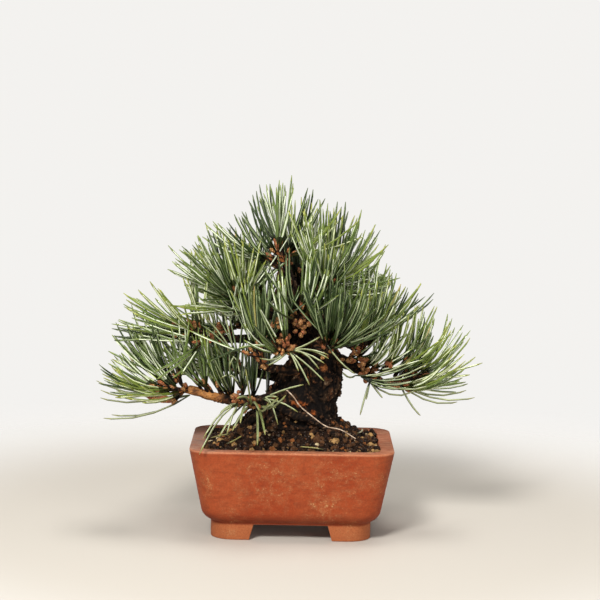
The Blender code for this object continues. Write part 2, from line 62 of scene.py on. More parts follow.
# %% [markdown]
# The camera stands in front, a little higher than the crown, with a long lens,
# so the plant shows nearly flat, as a catalogue of trees shows it. It is tilted
# a degree, and a small shift puts the pot left of the middle. It could be
# placed by eye, but a real distance and lens also give the right look down on
# the soil.

# %% Camera
CAMERA_PLACE = Vector((0.0, -1.20, 0.277))
CAMERA_DOWN = math.radians(6.5)
CAMERA_ROLL = math.radians(1.05)
CAMERA_LENS = 120.0
CAMERA_SHIFT = 0.0088


def make_camera():
    camera = bpy.data.objects.new("camera", bpy.data.cameras.new("camera"))
    bpy.context.scene.collection.objects.link(camera)
    look = Matrix.Rotation(math.pi / 2 - CAMERA_DOWN, 4, "X") @ Matrix.Rotation(CAMERA_ROLL, 4, "Z")
    camera.matrix_world = Matrix.Translation(POT_MIDDLE + CAMERA_PLACE) @ look
    camera.data.lens = CAMERA_LENS
    camera.data.shift_x = CAMERA_SHIFT
    bpy.context.scene.camera = camera
    return camera


camera = make_camera()
print("camera at", camera.matrix_world.translation)

# %% [markdown]
# Every finish below is a sum of small patterns. Wiring nodes by hand hides
# that sum, so a wire is wrapped in a class: adding or multiplying two wires
# adds the Math node, and the line reads like the formula. All other nodes come
# from one method that takes the kind, the settings and the inputs.

# %% A wire
class Wire:
    """The output of a shader node. A sum on wires adds its Math node."""

    def __init__(self, finish, socket):
        self.finish = finish
        self.socket = socket

    def combine(self, operation, first, second):
        return self.finish.node("Math", {"operation": operation}, {0: first, 1: second})

    def __add__(self, other):
        return self.combine("ADD", self, other)

    def __radd__(self, other):
        return self.combine("ADD", other, self)

    def __sub__(self, other):
        return self.combine("SUBTRACT", self, other)

    def __rsub__(self, other):
        return self.combine("SUBTRACT", other, self)

    def __mul__(self, other):
        return self.combine("MULTIPLY", self, other)

    def __rmul__(self, other):
        return self.combine("MULTIPLY", other, self)

    def between(self, low, high):
        """0 at low, 1 at high and smooth in between; high may be the lower one."""
        ends = {"Value": self, "From Min": low, "From Max": high}
        return self.finish.node("MapRange", {"interpolation_type": "SMOOTHSTEP"}, ends)


print("a wire can be used in a sum")

# %% A finish
# The part of a spot's radius out to which the spot is full
SPOT_CORE = 0.2


class Finish:
    """A material with one Principled shader, and a method that adds its nodes."""

    def __init__(self, name, **constants):
        self.material = bpy.data.materials.new(name)
        self.material.use_nodes = True
        self.tree = self.material.node_tree
        self.shader = self.tree.nodes["Principled BSDF"]
        for socket, value in constants.items():
            self.feed(self.shader.inputs[socket.replace("_", " ").title().replace("Ior", "IOR")], value)

    def feed(self, socket, value):
        if isinstance(value, Wire):
            self.tree.links.new(value.socket, socket)
        elif socket.type == "RGBA":
            socket.default_value = (*value, 1.0)
        else:
            socket.default_value = value

    def node(self, kind, settings=(), inputs=(), output=0):
        made = self.tree.nodes.new("ShaderNode" + kind)
        for key, value in dict(settings).items():
            setattr(made, key, value)
        for key, value in dict(inputs).items():
            self.feed(made.inputs[key], value)
        return Wire(self, made.outputs[output])

    def place(self, stretch=(1, 1, 1)):
        """Object coordinates, drawn out along each axis by the stretch."""
        coordinates = self.node("TexCoord", output="Object")
        scale = tuple(1 / part for part in stretch)
        return self.node("Mapping", inputs={"Vector": coordinates, "Scale": scale})

    def noise(self, size, stretch=(1, 1, 1), detail=3.0, rough=0.55):
        """Soft noise from 0 to 1, whose blots are about the size across."""
        inputs = {"Vector": self.place(stretch), "Scale": 1 / size}
        return self.node("TexNoise", inputs=inputs | {"Detail": detail, "Roughness": rough})

    def cells(self, size):
        """Distance within cells that are about the size across."""
        return self.node("TexVoronoi", inputs={"Vector": self.place(), "Scale": 1 / size})

    def part(self, axis):
        """One part of the object coordinates, in metres."""
        return self.node("SeparateXYZ", inputs={0: self.place()}, output=axis)

    def near(self, place, radius):
        """1 at a place round the pot's middle, and 0 from the radius on."""
        spot = POT_MIDDLE + Vector(place)
        inputs = {0: self.place(), 1: spot}
        away = self.node("VectorMath", {"operation": "DISTANCE"}, inputs, output=1)
        return away.between(radius, radius * SPOT_CORE)

    def own(self, attribute):
        """A number that the mesh carries on its points."""
        return self.node("Attribute", {"attribute_name": attribute}, output="Fac")

    def mix(self, factor, first, second):
        inputs = {"Factor": factor, 6: first, 7: second}
        return self.node("Mix", {"data_type": "RGBA"}, inputs, output=2)

    def coats(self, colour, layers):
        """Lay coats on a colour. Each has a mask, its strength and its own colour."""
        for mask, strength, coat in layers:
            colour = self.mix(mask * strength, colour, coat)
        return colour

    def colour(self, value):
        self.feed(self.shader.inputs["Base Color"], value)

    def roughness(self, value):
        self.feed(self.shader.inputs["Roughness"], value)

    def bump(self, height, distance, strength):
        inputs = {"Height": height, "Distance": distance, "Strength": strength}
        self.feed(self.shader.inputs["Normal"], self.node("Bump", inputs=inputs))


print("finishes are ready to be wired")

# %% [markdown]
# A studio picture has soft light from big white boxes in a white room. Area
# lights make the boxes, and the world makes the bounce of the room, which is
# bright low down and dimmer overhead, so that the boxes still draw clear
# shadows. A lit backdrop would do too, but it would show at other angles.

# %% Room and lights
ROOM_COLOUR = (1.0, 0.985, 0.96)
ROOM_STRENGTH = 0.90
OVERHEAD_SHARE = 0.26
ROOM_FADE = (0.10, 0.42)
LIGHT_TARGET = Vector((0.0, 0.0, 0.10))
# Each light: its place, how wide it is and its power in watts
LIGHTS = {
    "front_left": ((-0.42, -1.20, 1.05), 0.34, 30.0),
    "front_right": ((0.90, -1.10, 0.55), 0.50, 5.0),
    "overhead": ((0.15, 0.00, 1.40), 0.50, 11.0),
}


def make_light(name, place, width, power):
    lamp = bpy.data.lights.new(name, "AREA")
    lamp.size = width
    lamp.energy = power
    lamp.color = ROOM_COLOUR
    light = bpy.data.objects.new(name, lamp)
    bpy.context.scene.collection.objects.link(light)
    light.location = POT_MIDDLE + Vector(place)
    light.rotation_euler = (LIGHT_TARGET - Vector(place)).to_track_quat("-Z", "Y").to_euler()


def make_room():
    world = bpy.data.worlds.new("room")
    bpy.context.scene.world = world
    world.use_nodes = True
    nodes, links = world.node_tree.nodes, world.node_tree.links
    direction = nodes.new("ShaderNodeTexCoord")
    parts = nodes.new("ShaderNodeSeparateXYZ")
    strength = nodes.new("ShaderNodeMapRange")
    strength.interpolation_type = "SMOOTHSTEP"
    strength.inputs["From Min"].default_value = ROOM_FADE[0]
    strength.inputs["From Max"].default_value = ROOM_FADE[1]
    strength.inputs["To Min"].default_value = ROOM_STRENGTH
    strength.inputs["To Max"].default_value = ROOM_STRENGTH * OVERHEAD_SHARE
    links.new(direction.outputs["Generated"], parts.inputs[0])
    links.new(parts.outputs["Z"], strength.inputs["Value"])
    background = nodes["Background"]
    background.inputs["Color"].default_value = (*ROOM_COLOUR, 1.0)
    links.new(strength.outputs[0], background.inputs["Strength"])
    bpy.context.scene.view_settings.view_transform = "Standard"


make_room()
for light_name, light in LIGHTS.items():
    make_light(light_name, *light)
print("lights", list(LIGHTS))

# %% [markdown]
# Under the pot lies a pale surface that runs back out of sight. A backdrop with a curved sweep would
# show its back from behind, so it is one big disc that turns paler as it fades out into the room, and
# no edge shows from any side. The paler colour further out is painted light, which makes up for the
# lamps' light falling off with distance.

# %% Floor
FLOOR_COLOUR = (0.520, 0.484, 0.430)
# The far colour is painted light, paler where the lamps' light falls off
FAR_FLOOR_COLOUR = (0.92, 0.90, 0.87)
FLOOR_RADIUS = 1.0
FLOOR_SEGMENTS = 96
FLOOR_FADE = (0.17, 0.50)


def make_floor():
    bm = bmesh.new()
    bmesh.ops.create_circle(bm, cap_ends=True, segments=FLOOR_SEGMENTS, radius=FLOOR_RADIUS)
    mesh = bpy.data.meshes.new("floor")
    bm.to_mesh(mesh)
    bm.free()
    floor = bpy.data.objects.new("floor", mesh)
    bpy.context.scene.collection.objects.link(floor)
    sheet = Finish("floor", roughness=0.7)
    away = sheet.node("VectorMath", {"operation": "LENGTH"}, {0: sheet.place()}, output=1)
    # Painted light: the colour turns paler with distance from the middle
    sheet.colour(sheet.mix(away.between(*FLOOR_FADE), FLOOR_COLOUR, FAR_FLOOR_COLOUR))
    sheet.feed(sheet.shader.inputs["Alpha"], away.between(FLOOR_FADE[1], FLOOR_FADE[0]))
    mesh.materials.append(sheet.material)


make_floor()
print("the floor reaches out", FLOOR_RADIUS, "m and fades between", FLOOR_FADE)

# %% [markdown]
# Every piece is modelled round the pot's middle, where the sizes are easy to
# read, and its mesh is then moved to the pot's place in the frame. The object
# itself stays at the origin. Most pieces are drawn out: a flat face is
# extruded ring by ring, and each new end face takes the next ring's points.

# %% Finished pieces
def finish_piece(name, mesh, finishes, nodes=()):
    """Put a mesh in place, give it its finishes and body, and hide the CAD nodes that it replaces."""
    mesh.transform(Matrix.Translation(POT_MIDDLE))
    piece = bpy.data.objects.new(name, mesh)
    bpy.context.scene.collection.objects.link(piece)
    for finish in finishes:
        mesh.materials.append(finish.material)
    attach(piece, "root")
    if nodes:
        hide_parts(*nodes)
    mesh.calc_loop_triangles()
    print(name, len(mesh.loop_triangles), "triangles")


def soften(mesh, smooth_below):
    """Give a mesh soft edges below an angle in degrees, and sharp ones above it."""
    mesh.shade_smooth()
    mesh.set_sharp_from_angle(angle=math.radians(smooth_below))
    return mesh


def mesh_from(name, bm):
    """Turn a bmesh into a mesh."""
    mesh = bpy.data.meshes.new(name)
    bm.to_mesh(mesh)
    bm.free()
    return mesh


print("pieces go round", POT_MIDDLE)

# %% Rings that are drawn out
def draw_out(bm, rings):
    """Draw a flat face out through rings of points and close the other end."""
    first = [bm.verts.new(point) for point in rings[0]]
    end = bm.faces.new(first)
    made = list(first)
    for ring in rings[1:]:
        end = bmesh.ops.extrude_discrete_faces(bm, faces=[end])["faces"][0]
        made += end.verts
        for vert, point in zip(end.verts, ring):
            vert.co = point
    rim = {edge for vert in first for edge in vert.link_edges if edge.is_boundary}
    bmesh.ops.holes_fill(bm, edges=list(rim), sides=0)
    return made


def curve_point(start, bend, end, share):
    """A point on the smooth curve from start to end that the bend pulls."""
    return start.lerp(bend, share).lerp(bend.lerp(end, share), share)


def limb_points(start, bend, end, stations):
    return [curve_point(start, bend, end, step / (stations - 1)) for step in range(stations)]


def limb_rings(points, radii, sides):
    """Rings square to a limb, with one radius at each of its points."""
    last = len(points) - 1
    across = (points[1] - points[0]).orthogonal().normalized()
    rings = []
    for number, (point, radius) in enumerate(zip(points, radii)):
        forward = (points[min(number + 1, last)] - points[max(number - 1, 0)]).normalized()
        across = (across - forward * across.dot(forward)).normalized()
        beside = forward.cross(across)
        angles = [math.tau * side / sides for side in range(sides)]
        rings.append([
            point + radius * (across * math.cos(angle) + beside * math.sin(angle))
            for angle in angles])
    return rings


def draw_taper(bm, points, thick, thin, sides):
    """Draw out a limb whose radius shrinks evenly from thick to thin."""
    radii = np.linspace(thick, thin, len(points)).tolist()
    return draw_out(bm, limb_rings(points, radii, sides))


print("rings can be drawn out")

# %% [markdown]
# The pot is pressed from red clay and fired without a glaze. It has straight
# tapered walls, a flat rim and round corners. A box with bevels would do for the
# outside, but not for the foot ring and the hollow. So its shape is a stack of
# rounded rectangles: up the inside of the foot ring, round the outside, over the
# rim and down to the floor. The taper of each wall says how wide each ring is.

# %% Sizes of the pot
POT_WIDTH = 0.122
POT_DEPTH = 0.092
POT_HEIGHT = 0.055
POT_CORNER = 0.0135
RIM_WIDTH = 0.0085
RIM_EDGE = 0.0010
SIDE_TAPER = 0.195
FRONT_TAPER = 0.160
LOWER_ROUND = 0.0080
FOOT_HEIGHT = 0.0095
FOOT_THICKNESS = 0.0070
FOOT_INSET = 0.0002
FOOT_EDGE = 0.0007
FLOOR_THICKNESS = 0.0060
print("the pot's walls lean out", round(MILLIMETRES * SIDE_TAPER * POT_HEIGHT, 1), "mm")

# %% Rings of the pot
FOOT_CORNER = POT_CORNER / 3
FOOT_EDGE_MIDDLE = FOOT_EDGE * 0.3
RIM_CORNER = POT_CORNER / 2
WALL_TOP = POT_HEIGHT - 3 * RIM_EDGE
# How many degrees the wall's lower round still has to turn at each of its rings
LOWER_TURNS = (60, 50, 40, 30, 20, 10, 0)
CORNER_STEPS = 10
EDGE_STEPS = 4
WALL_STEPS = 6


def rounded_ring(half_width, half_depth, corner, height):
    """Points round a rectangle with round corners, anticlockwise from +X."""
    points = []
    for quarter in range(4):
        sign_x = 1 if quarter in (0, 3) else -1
        sign_y = 1 if quarter in (0, 1) else -1
        middle = Vector((sign_x * (half_width - corner), sign_y * (half_depth - corner), height))
        for step in range(CORNER_STEPS + 1):
            angle = math.pi / 2 * (quarter + step / CORNER_STEPS)
            points.append(middle + corner * Vector((math.cos(angle), math.sin(angle), 0)))
    return points


def wall_ring(height, inset, corner, wall_height=None):
    """A ring at a height, set in from where the tapered wall is at a wall height."""
    drop = POT_HEIGHT - (height if wall_height is None else wall_height)
    half_width = POT_WIDTH / 2 - SIDE_TAPER * drop - inset
    half_depth = POT_DEPTH / 2 - FRONT_TAPER * drop - inset
    return rounded_ring(half_width, half_depth, corner, height)


def edge_rings(inset, corner, inner):
    """Rings over a rounded edge of the rim: the outer one, or the inner one."""
    rings = []
    for step in range(EDGE_STEPS + 1):
        angle = math.pi / 2 * step / EDGE_STEPS
        height = POT_HEIGHT - RIM_EDGE * (1 - math.sin(angle))
        set_in = RIM_EDGE * (1 - math.cos(angle))
        if inner:
            rings.insert(0, wall_ring(height, inset - set_in, corner + set_in))
        else:
            rings.append(wall_ring(height, inset + set_in, corner - set_in))
    return rings


def pot_rings():
    foot = LOWER_ROUND / 2 + FOOT_INSET
    inside = foot + FOOT_THICKNESS
    rings = [
        wall_ring(FOOT_HEIGHT, inside, FOOT_CORNER),
        wall_ring(0.0, inside, FOOT_CORNER, FOOT_HEIGHT),
        wall_ring(0.0, foot + FOOT_EDGE, POT_CORNER - FOOT_EDGE, FOOT_HEIGHT),
        wall_ring(FOOT_EDGE_MIDDLE, foot + FOOT_EDGE_MIDDLE, POT_CORNER, FOOT_HEIGHT),
        wall_ring(FOOT_EDGE, foot, POT_CORNER, FOOT_HEIGHT),
        wall_ring(FOOT_HEIGHT, foot, POT_CORNER, FOOT_HEIGHT),
    ]
    for degrees in LOWER_TURNS:
        turn = math.radians(degrees)
        height = FOOT_HEIGHT + LOWER_ROUND * (1 - math.sin(turn))
        rings.append(wall_ring(height, LOWER_ROUND * (1 - math.cos(turn)), POT_CORNER))
    foot_of_wall = FOOT_HEIGHT + LOWER_ROUND
    for step in range(1, WALL_STEPS + 1):
        height = foot_of_wall + (WALL_TOP - foot_of_wall) * step / WALL_STEPS
        rings.append(wall_ring(height, 0.0, POT_CORNER))
    rings += edge_rings(0.0, POT_CORNER, inner=False)
    rings += edge_rings(RIM_WIDTH, RIM_CORNER, inner=True)
    rings.append(wall_ring(FOOT_HEIGHT + FLOOR_THICKNESS, RIM_WIDTH, RIM_CORNER))
    return rings


print("rings in the pot", len(pot_rings()))

# %% [markdown]
# Four feet are left where the foot ring is cut away between them, as a potter's
# wire does, and two holes in the floor let the water out. Faces could be deleted
# and bridged for them, but a Boolean does it in one step. It takes away plain
# solids, two wedges and two short rods, and a small bevel eases the edges.

# %% Cutters for the feet and drain holes
FRONT_FOOT_GAP = 0.0440
SIDE_FOOT_GAP = 0.0380
FOOT_SLANT = 0.0034
WEDGE_BOTTOM = -FOOT_HEIGHT / 4
DRAIN_RADIUS = 0.0055
DRAIN_SPACING = 0.0480
DRAIN_SEGMENTS = 32


def wedge(gap, length, along_x):
    """A prism with slanting ends that clears the space between two feet."""
    outline = [
        (-gap / 2, FOOT_HEIGHT),
        (gap / 2, FOOT_HEIGHT),
        (gap / 2 + FOOT_SLANT, WEDGE_BOTTOM),
        (-gap / 2 - FOOT_SLANT, WEDGE_BOTTOM),
    ]
    ends = []
    for across in (-length / 2, length / 2):
        ends.append([
            Vector((along, across, height) if along_x else (across, along, height))
            for along, height in outline])
    bm = bmesh.new()
    draw_out(bm, ends)
    bmesh.ops.recalc_face_normals(bm, faces=bm.faces)
    return bm


def drain_holes():
    bm = bmesh.new()
    for side in (-1, 1):
        place = Matrix.Translation((side * DRAIN_SPACING / 2, 0, FOOT_HEIGHT + FLOOR_THICKNESS / 2))
        bmesh.ops.create_cone(
            bm, cap_ends=True, segments=DRAIN_SEGMENTS, radius1=DRAIN_RADIUS, radius2=DRAIN_RADIUS,
            depth=FLOOR_THICKNESS * 2, matrix=place)
    return bm


print("a drain hole is", 2 * MILLIMETRES * DRAIN_RADIUS, "mm wide")

# %% The pot's mesh
EASE_WIDTH = 0.0004
EASE_SEGMENTS = 2
EASE_ABOVE = math.radians(50)
POT_SMOOTH_BELOW = 40


def cut(mesh, cutters):
    """The mesh with each cutter taken away by a Boolean, and its edges eased."""
    body = bpy.data.objects.new("body", mesh)
    bpy.context.scene.collection.objects.link(body)
    tools = [bpy.data.objects.new("tool", mesh_from("tool", bm)) for bm in cutters]
    for tool in tools:
        bpy.context.scene.collection.objects.link(tool)
        step = body.modifiers.new("cut", "BOOLEAN")
        step.object = tool
    ease = body.modifiers.new("ease", "BEVEL")
    ease.width = EASE_WIDTH
    ease.segments = EASE_SEGMENTS
    ease.limit_method = "ANGLE"
    ease.angle_limit = EASE_ABOVE
    finished = body.evaluated_get(bpy.context.evaluated_depsgraph_get())
    result = bpy.data.meshes.new_from_object(finished)
    for item in [body] + tools:
        bpy.data.objects.remove(item)
    return result


def make_pot_mesh():
    bm = bmesh.new()
    draw_out(bm, pot_rings())
    bmesh.ops.recalc_face_normals(bm, faces=bm.faces)
    wedges = [wedge(FRONT_FOOT_GAP, POT_DEPTH, True), wedge(SIDE_FOOT_GAP, POT_WIDTH, False)]
    mesh = cut(mesh_from("pot_body", bm), wedges + [drain_holes()])
    return soften(mesh, POT_SMOOTH_BELOW)


pot_mesh = make_pot_mesh()
print("faces on the pot", len(pot_mesh.polygons))

# %% [markdown]
# Unglazed clay is matt and never one colour. The kiln leaves cloudy darker and lighter patches, the
# lower wall is darker, and old watering leaves pale lime flecks in clusters. Painted shade darkens the
# ends, where the walls turn away from the light, and the feet are painted lighter as if lit by light
# bounced up from the floor. The rim's top is paler and greyer, partly from dust and partly from painted
# top light and sheen, with a painted highlight on its rounded edges and a band of painted shade just
# below them. Each is one pattern on object coordinates, mixed in turn; the clusters are named by their
# place on the wall.

# %% Colours of the clay
CLAY_RED = (0.270, 0.040, 0.008)
CLAY_ORANGE = (0.320, 0.064, 0.017)
CLAY_FEET_LIGHT = (0.395, 0.120, 0.042)
CLAY_DARK = (0.120, 0.020, 0.007)
CLAY_END_SHADE = (0.110, 0.050, 0.021)
CLAY_RIM_DUST_AND_SHEEN = (0.420, 0.165, 0.085)
CLAY_EDGE_HIGHLIGHT = (0.430, 0.150, 0.068)
CLAY_GREY = (0.300, 0.215, 0.180)
CLAY_PALE = (0.520, 0.290, 0.180)
print("most of the clay is", CLAY_RED)

# %% Coats on the pot's walls
# How far across the blots of each pattern are
CLOUD_SIZE = 0.030
END_SHADE_SIZE = 0.006
# Heights where a tone begins and where it is full
DARK_WALL = (0.021, 0.011)
# The feet are painted lighter, as if lit by light bounced up from the floor
LIT_FEET = (FOOT_HEIGHT + 0.0005, FOOT_HEIGHT - 0.001)
# How far out from the pot's middle the painted shade on its ends begins, and where it is full
SHADED_ENDS = (POT_WIDTH * 0.43, POT_WIDTH * 0.5)


def wall_coats(clay, height, brushed):
    """Kiln clouds, brushed streaks, the dark lower wall, painted shade on the ends and painted light on
    the feet.
    """
    clouds = clay.noise(CLOUD_SIZE, detail=4.0).between(0.40, 0.66)
    outwards = clay.node("Math", {"operation": "ABSOLUTE"}, {0: clay.part("X") - POT_MIDDLE.x})
    ends = outwards.between(*SHADED_ENDS)
    return [
        (clouds, 0.7, CLAY_ORANGE),
        (brushed.between(0.42, 0.72), 0.34, CLAY_DARK),
        (height.between(*DARK_WALL), 0.5, CLAY_DARK),
        # Painted shade on the ends, where the walls turn away from the light
        (ends * clay.noise(END_SHADE_SIZE).between(0.35, 0.6), 0.4, CLAY_END_SHADE),
        # Painted light on the feet
        (height.between(*LIT_FEET), 0.85, CLAY_FEET_LIGHT),
    ]


print("the wall darkens below", MILLIMETRES * DARK_WALL[0], "mm")

# %% Coats on the rim
# The greyest part of the rim: its middle, and how far it reaches
GREY_RIM = ((-0.058, -0.010, 0.055), 0.050)
DUST_AND_SHEEN_SIZE = 0.009
GREY_SIZE = 0.005
STREAK_SIZE = 0.0014
EDGE_HIGHLIGHT_SIZE = 0.004
# Heights of the rim's top, which is painted paler: partly dust, partly painted top light and sheen
RIM_TOP_HEIGHTS = (POT_HEIGHT - 0.0016, POT_HEIGHT - 0.0006)
# Bands near the rim: the lower and the upper end below its top, and how soft
# both ends are
# The first band is a painted highlight along the rim's rounded edges
EDGE_HIGHLIGHT_BAND = (0.0012, 0.0001, 0.0004)
# The second band is painted shade just below the rim's edges
SHADE_BAND_BELOW_RIM = (0.0032, 0.0014, 0.0006)


def rim_band(height, lower, upper, soft):
    """1 within a band that lies between two depths below the rim's top."""
    low, high = POT_HEIGHT - lower, POT_HEIGHT - upper
    return height.between(low, low + soft) * height.between(high, high - soft)


def rim_coats(clay, height):
    """Dust with painted top light and sheen, a greyer end, pale and dark streaks, a painted highlight
    on the rounded edges and a band of painted shade below them.
    """
    rim = height.between(*RIM_TOP_HEIGHTS)
    dust_and_sheen = clay.noise(DUST_AND_SHEEN_SIZE, stretch=(2, 2, 1)).between(0.25, 0.7)
    grey_end = clay.near(*GREY_RIM) * clay.noise(GREY_SIZE).between(0.2, 0.6)
    streaks = clay.noise(STREAK_SIZE, stretch=(5, 1, 1), rough=0.6)
    # A painted highlight along the rim's rounded edges
    edge_highlight = rim_band(height, *EDGE_HIGHLIGHT_BAND) * clay.noise(EDGE_HIGHLIGHT_SIZE).between(0.3, 0.5)
    return [
        # Dust and painted top light and sheen on the rim's top
        (rim, 0.45 + dust_and_sheen * 0.5, CLAY_RIM_DUST_AND_SHEEN),
        (rim * grey_end, 0.75, CLAY_GREY),
        (rim * streaks.between(0.52, 0.64), 0.45, CLAY_PALE),
        (rim * streaks.between(0.46, 0.34), 0.55, CLAY_DARK),
        (edge_highlight, 0.8, CLAY_EDGE_HIGHLIGHT),
        # Painted shade just below the rim's edges
        (rim_band(height, *SHADE_BAND_BELOW_RIM), 0.20, CLAY_DARK),
    ]


# The band of painted shade starts this far below the rim's top
print("the rim is shaded from", MILLIMETRES * SHADE_BAND_BELOW_RIM[1], "mm below its top")

# %% Lime flecks
LIME = (0.460, 0.250, 0.105)
# Where lime flecks gather: x, y, z round the pot's middle, and how far they reach
LIME_CLUSTERS = (
    ((-0.050, -0.042, 0.035), 0.013),
    ((-0.013, -0.043, 0.037), 0.026),
    ((0.025, -0.043, 0.035), 0.028),
    ((-0.034, -0.039, 0.015), 0.010),
    ((-0.036, -0.038, 0.004), 0.010),
    ((0.034, -0.038, 0.005), 0.010),
    ((0.055, -0.043, 0.036), 0.011),
    ((0.020, -0.041, 0.022), 0.015),
    ((0.040, 0.042, 0.030), 0.018),
    ((-0.020, 0.041, 0.022), 0.014),
    ((0.056, 0.010, 0.030), 0.012),
)
# How much lime there is between the clusters
LIME_ELSEWHERE = 0.22
LIME_SPECK_SIZE = 0.0011
LIME_FILM_SIZE = 0.0060


def lime_flecks(clay):
    """Lime as a thin film with thicker specks, most of it in the clusters."""
    gathered = sum((clay.near(place, reach) for place, reach in LIME_CLUSTERS), LIME_ELSEWHERE)
    specks = clay.noise(LIME_SPECK_SIZE, rough=0.7).between(0.54, 0.66)
    film = clay.noise(LIME_FILM_SIZE, detail=5.0, rough=0.75).between(0.42, 0.68)
    return gathered * film * (0.16 + specks * 0.74)


print("lime gathers in", len(LIME_CLUSTERS), "places")

# %% Pot finish
BRUSHED_SIZE = 0.0022
PORE_SIZE = 0.0009
UNEVEN_SIZE = 0.012


def clay_finish():
    clay = Finish("clay", specular_ior_level=0.20)
    height = clay.part("Z")
    brushed = clay.noise(BRUSHED_SIZE, stretch=(3, 3, 1), rough=0.6)
    pores = clay.noise(PORE_SIZE, detail=2.0)
    lime = lime_flecks(clay)
    layers = wall_coats(clay, height, brushed) + rim_coats(clay, height)
    layers += [(lime, 1.0, LIME), (pores.between(0.3, 0.75), 0.35, CLAY_DARK)]
    clay.colour(clay.coats(CLAY_RED, layers))
    clay.roughness(0.60 + brushed * 0.2 + lime * 0.1)
    relief = clay.noise(UNEVEN_SIZE) + brushed * 0.12 + pores * 0.12 + lime * 0.2
    clay.bump(relief, distance=0.0009, strength=0.6)
    return clay


finish_piece("clay_pot", pot_mesh, [clay_finish()], ["pot"])

# %% [markdown]
# The trunk is very thick for its height. It flares into roots at the soil,
# leans right, turns back and tapers fast to the top. It could be sculpted, but
# the frame's own stations give level rings that surely meet the boughs, and the
# rings are set close enough to carry the bark's relief.

# %% Rings of the trunk
# Trunk stations: centre x, centre y, height, half width
TRUNK_STATIONS = (
    (-0.0010, 0.0010, 0.0640, 0.0310),
    (0.0000, 0.0010, 0.0690, 0.0270),
    (0.0020, 0.0010, 0.0765, 0.0240),
    (0.0080, 0.0010, 0.0880, 0.0205),
    (0.0125, 0.0010, 0.1000, 0.0168),
    (0.0115, 0.0005, 0.1120, 0.0140),
    (0.0060, 0.0000, 0.1250, 0.0115),
    (0.0000, 0.0010, 0.1370, 0.0095),
    (-0.0030, 0.0020, 0.1460, 0.0078),
    (-0.0050, 0.0030, 0.1540, 0.0055),
    (-0.0055, 0.0030, 0.1590, 0.0032),
)
TRUNK_SIDES = 190
TRUNK_STEP = 0.0006
TRUNK_DEPTH_RATIO = 0.75
GROUND_HEIGHT = 0.0640
ROOT_COUNT = 5
ROOT_SWELL = 0.10
ROOT_TURN = math.radians(20)
FLARE_HEIGHT = 0.0160


def trunk_at(height):
    """The trunk's middle x and y and its half width at a height."""
    heights = [station[2] for station in TRUNK_STATIONS]
    columns = ([station[part] for station in TRUNK_STATIONS] for part in (0, 1, 3))
    return [float(np.interp(height, heights, column)) for column in columns]


def trunk_middle(height):
    x, y = trunk_at(height)[:2]
    return Vector((x, y, height))


def trunk_ring(height):
    """A level ring round the trunk, swollen into roots near the ground."""
    x, y, half_width = trunk_at(height)
    flare = max(0.0, 1 - (height - GROUND_HEIGHT) / FLARE_HEIGHT)
    points = []
    for side in range(TRUNK_SIDES):
        angle = math.tau * side / TRUNK_SIDES
        radius = half_width * (1 + ROOT_SWELL * flare * math.cos(ROOT_COUNT * (angle - ROOT_TURN)))
        points.append(Vector((
            x + radius * math.cos(angle),
            y + radius * TRUNK_DEPTH_RATIO * math.sin(angle),
            height)))
    return points


print("the trunk is", 2 * MILLIMETRES * trunk_at(GROUND_HEIGHT)[2], "mm wide at the soil")

# %% [markdown]
# Old pine bark breaks into plates with deep cracks between them. A bump in the finish would look flat
# at the edge of the trunk, so the points themselves are pushed. The plates come from a cell pattern:
# where a point is about as near to two cells as to one, there is a crack. Each point keeps its height
# above the crack as a number, so that the finish can paint shade into the cracks.

# %% Relief of the bark
# The vector noise is another one in each session, unless it gets a seed
BARK_SEED = 2
noise.seed_set(BARK_SEED)
PLATE_LENGTHENING = 0.55
# What bends the plates' edges: how often in a plate, and how far
PLATE_BENDS = ((0.9, 0.55), (3.3, 0.16))
CRACK_WIDTH = 0.34
PLATE_RISE = 0.6
PLATE_TILT = 0.4
FLAKE_HEIGHT = 0.5
FLAKE_FLATTENING = 2.2
FLAKES_IN_PLATE = 2.6
FLAKE_ROUGHNESS = 0.6
FLAKE_STEP = 2.0
FLAKE_OCTAVES = 4


def bark_height(point, plate, seed):
    """How far a point of the bark stands up: 0 in a crack, about 1 on a plate."""
    spot = Vector((point.x, point.y, point.z * PLATE_LENGTHENING)) / plate
    spot += Vector((seed, seed, seed))
    bends = [noise.noise_vector(spot * often) * far for often, far in PLATE_BENDS]
    spot += sum(bends, Vector())
    nearest, second = noise.voronoi(spot)[0][:2]
    on_plate = min(1.0, (second - nearest) / CRACK_WIDTH)
    tilt = noise.cell(spot) * PLATE_TILT
    layered = Vector((spot.x, spot.y, spot.z * FLAKE_FLATTENING)) * FLAKES_IN_PLATE
    flakes = noise.fractal(layered, FLAKE_ROUGHNESS, FLAKE_STEP, FLAKE_OCTAVES)
    return on_plate * (PLATE_RISE + tilt) + flakes * FLAKE_HEIGHT


print("a crack takes up", CRACK_WIDTH / 2, "of a plate on each side")

# %% Bark that stands out
PLATE_MIDDLE = 0.55
LUMP_HEIGHT = 0.6
PLATES_IN_LUMP = 2.7
BARK_SMOOTH_BELOW = 70


def new_bark():
    """An empty bmesh whose points can keep the bark's height."""
    bm = bmesh.new()
    bm.verts.layers.float.new("bark")
    return bm


def roughen(bm, verts, plate, depth, seed):
    """Push points out along their normals by the bark, and keep the height."""
    layer = bm.verts.layers.float["bark"]
    bm.normal_update()
    normals = [vert.normal.copy() for vert in verts]
    for vert, normal in zip(verts, normals):
        height = bark_height(vert.co, plate, seed)
        lumps = noise.noise(vert.co / (plate * PLATES_IN_LUMP)) * LUMP_HEIGHT
        vert[layer] = height
        vert.co += normal * depth * (height - PLATE_MIDDLE + lumps)


def roughen_limb(bm, verts, plate, depth, seed):
    """Turn the faces round some points outwards, and give them their bark."""
    faces = list({face for vert in verts for face in vert.link_faces})
    bmesh.ops.recalc_face_normals(bm, faces=faces)
    roughen(bm, verts, plate, depth, seed)


print("lumps stretch over", PLATES_IN_LUMP, "plates")

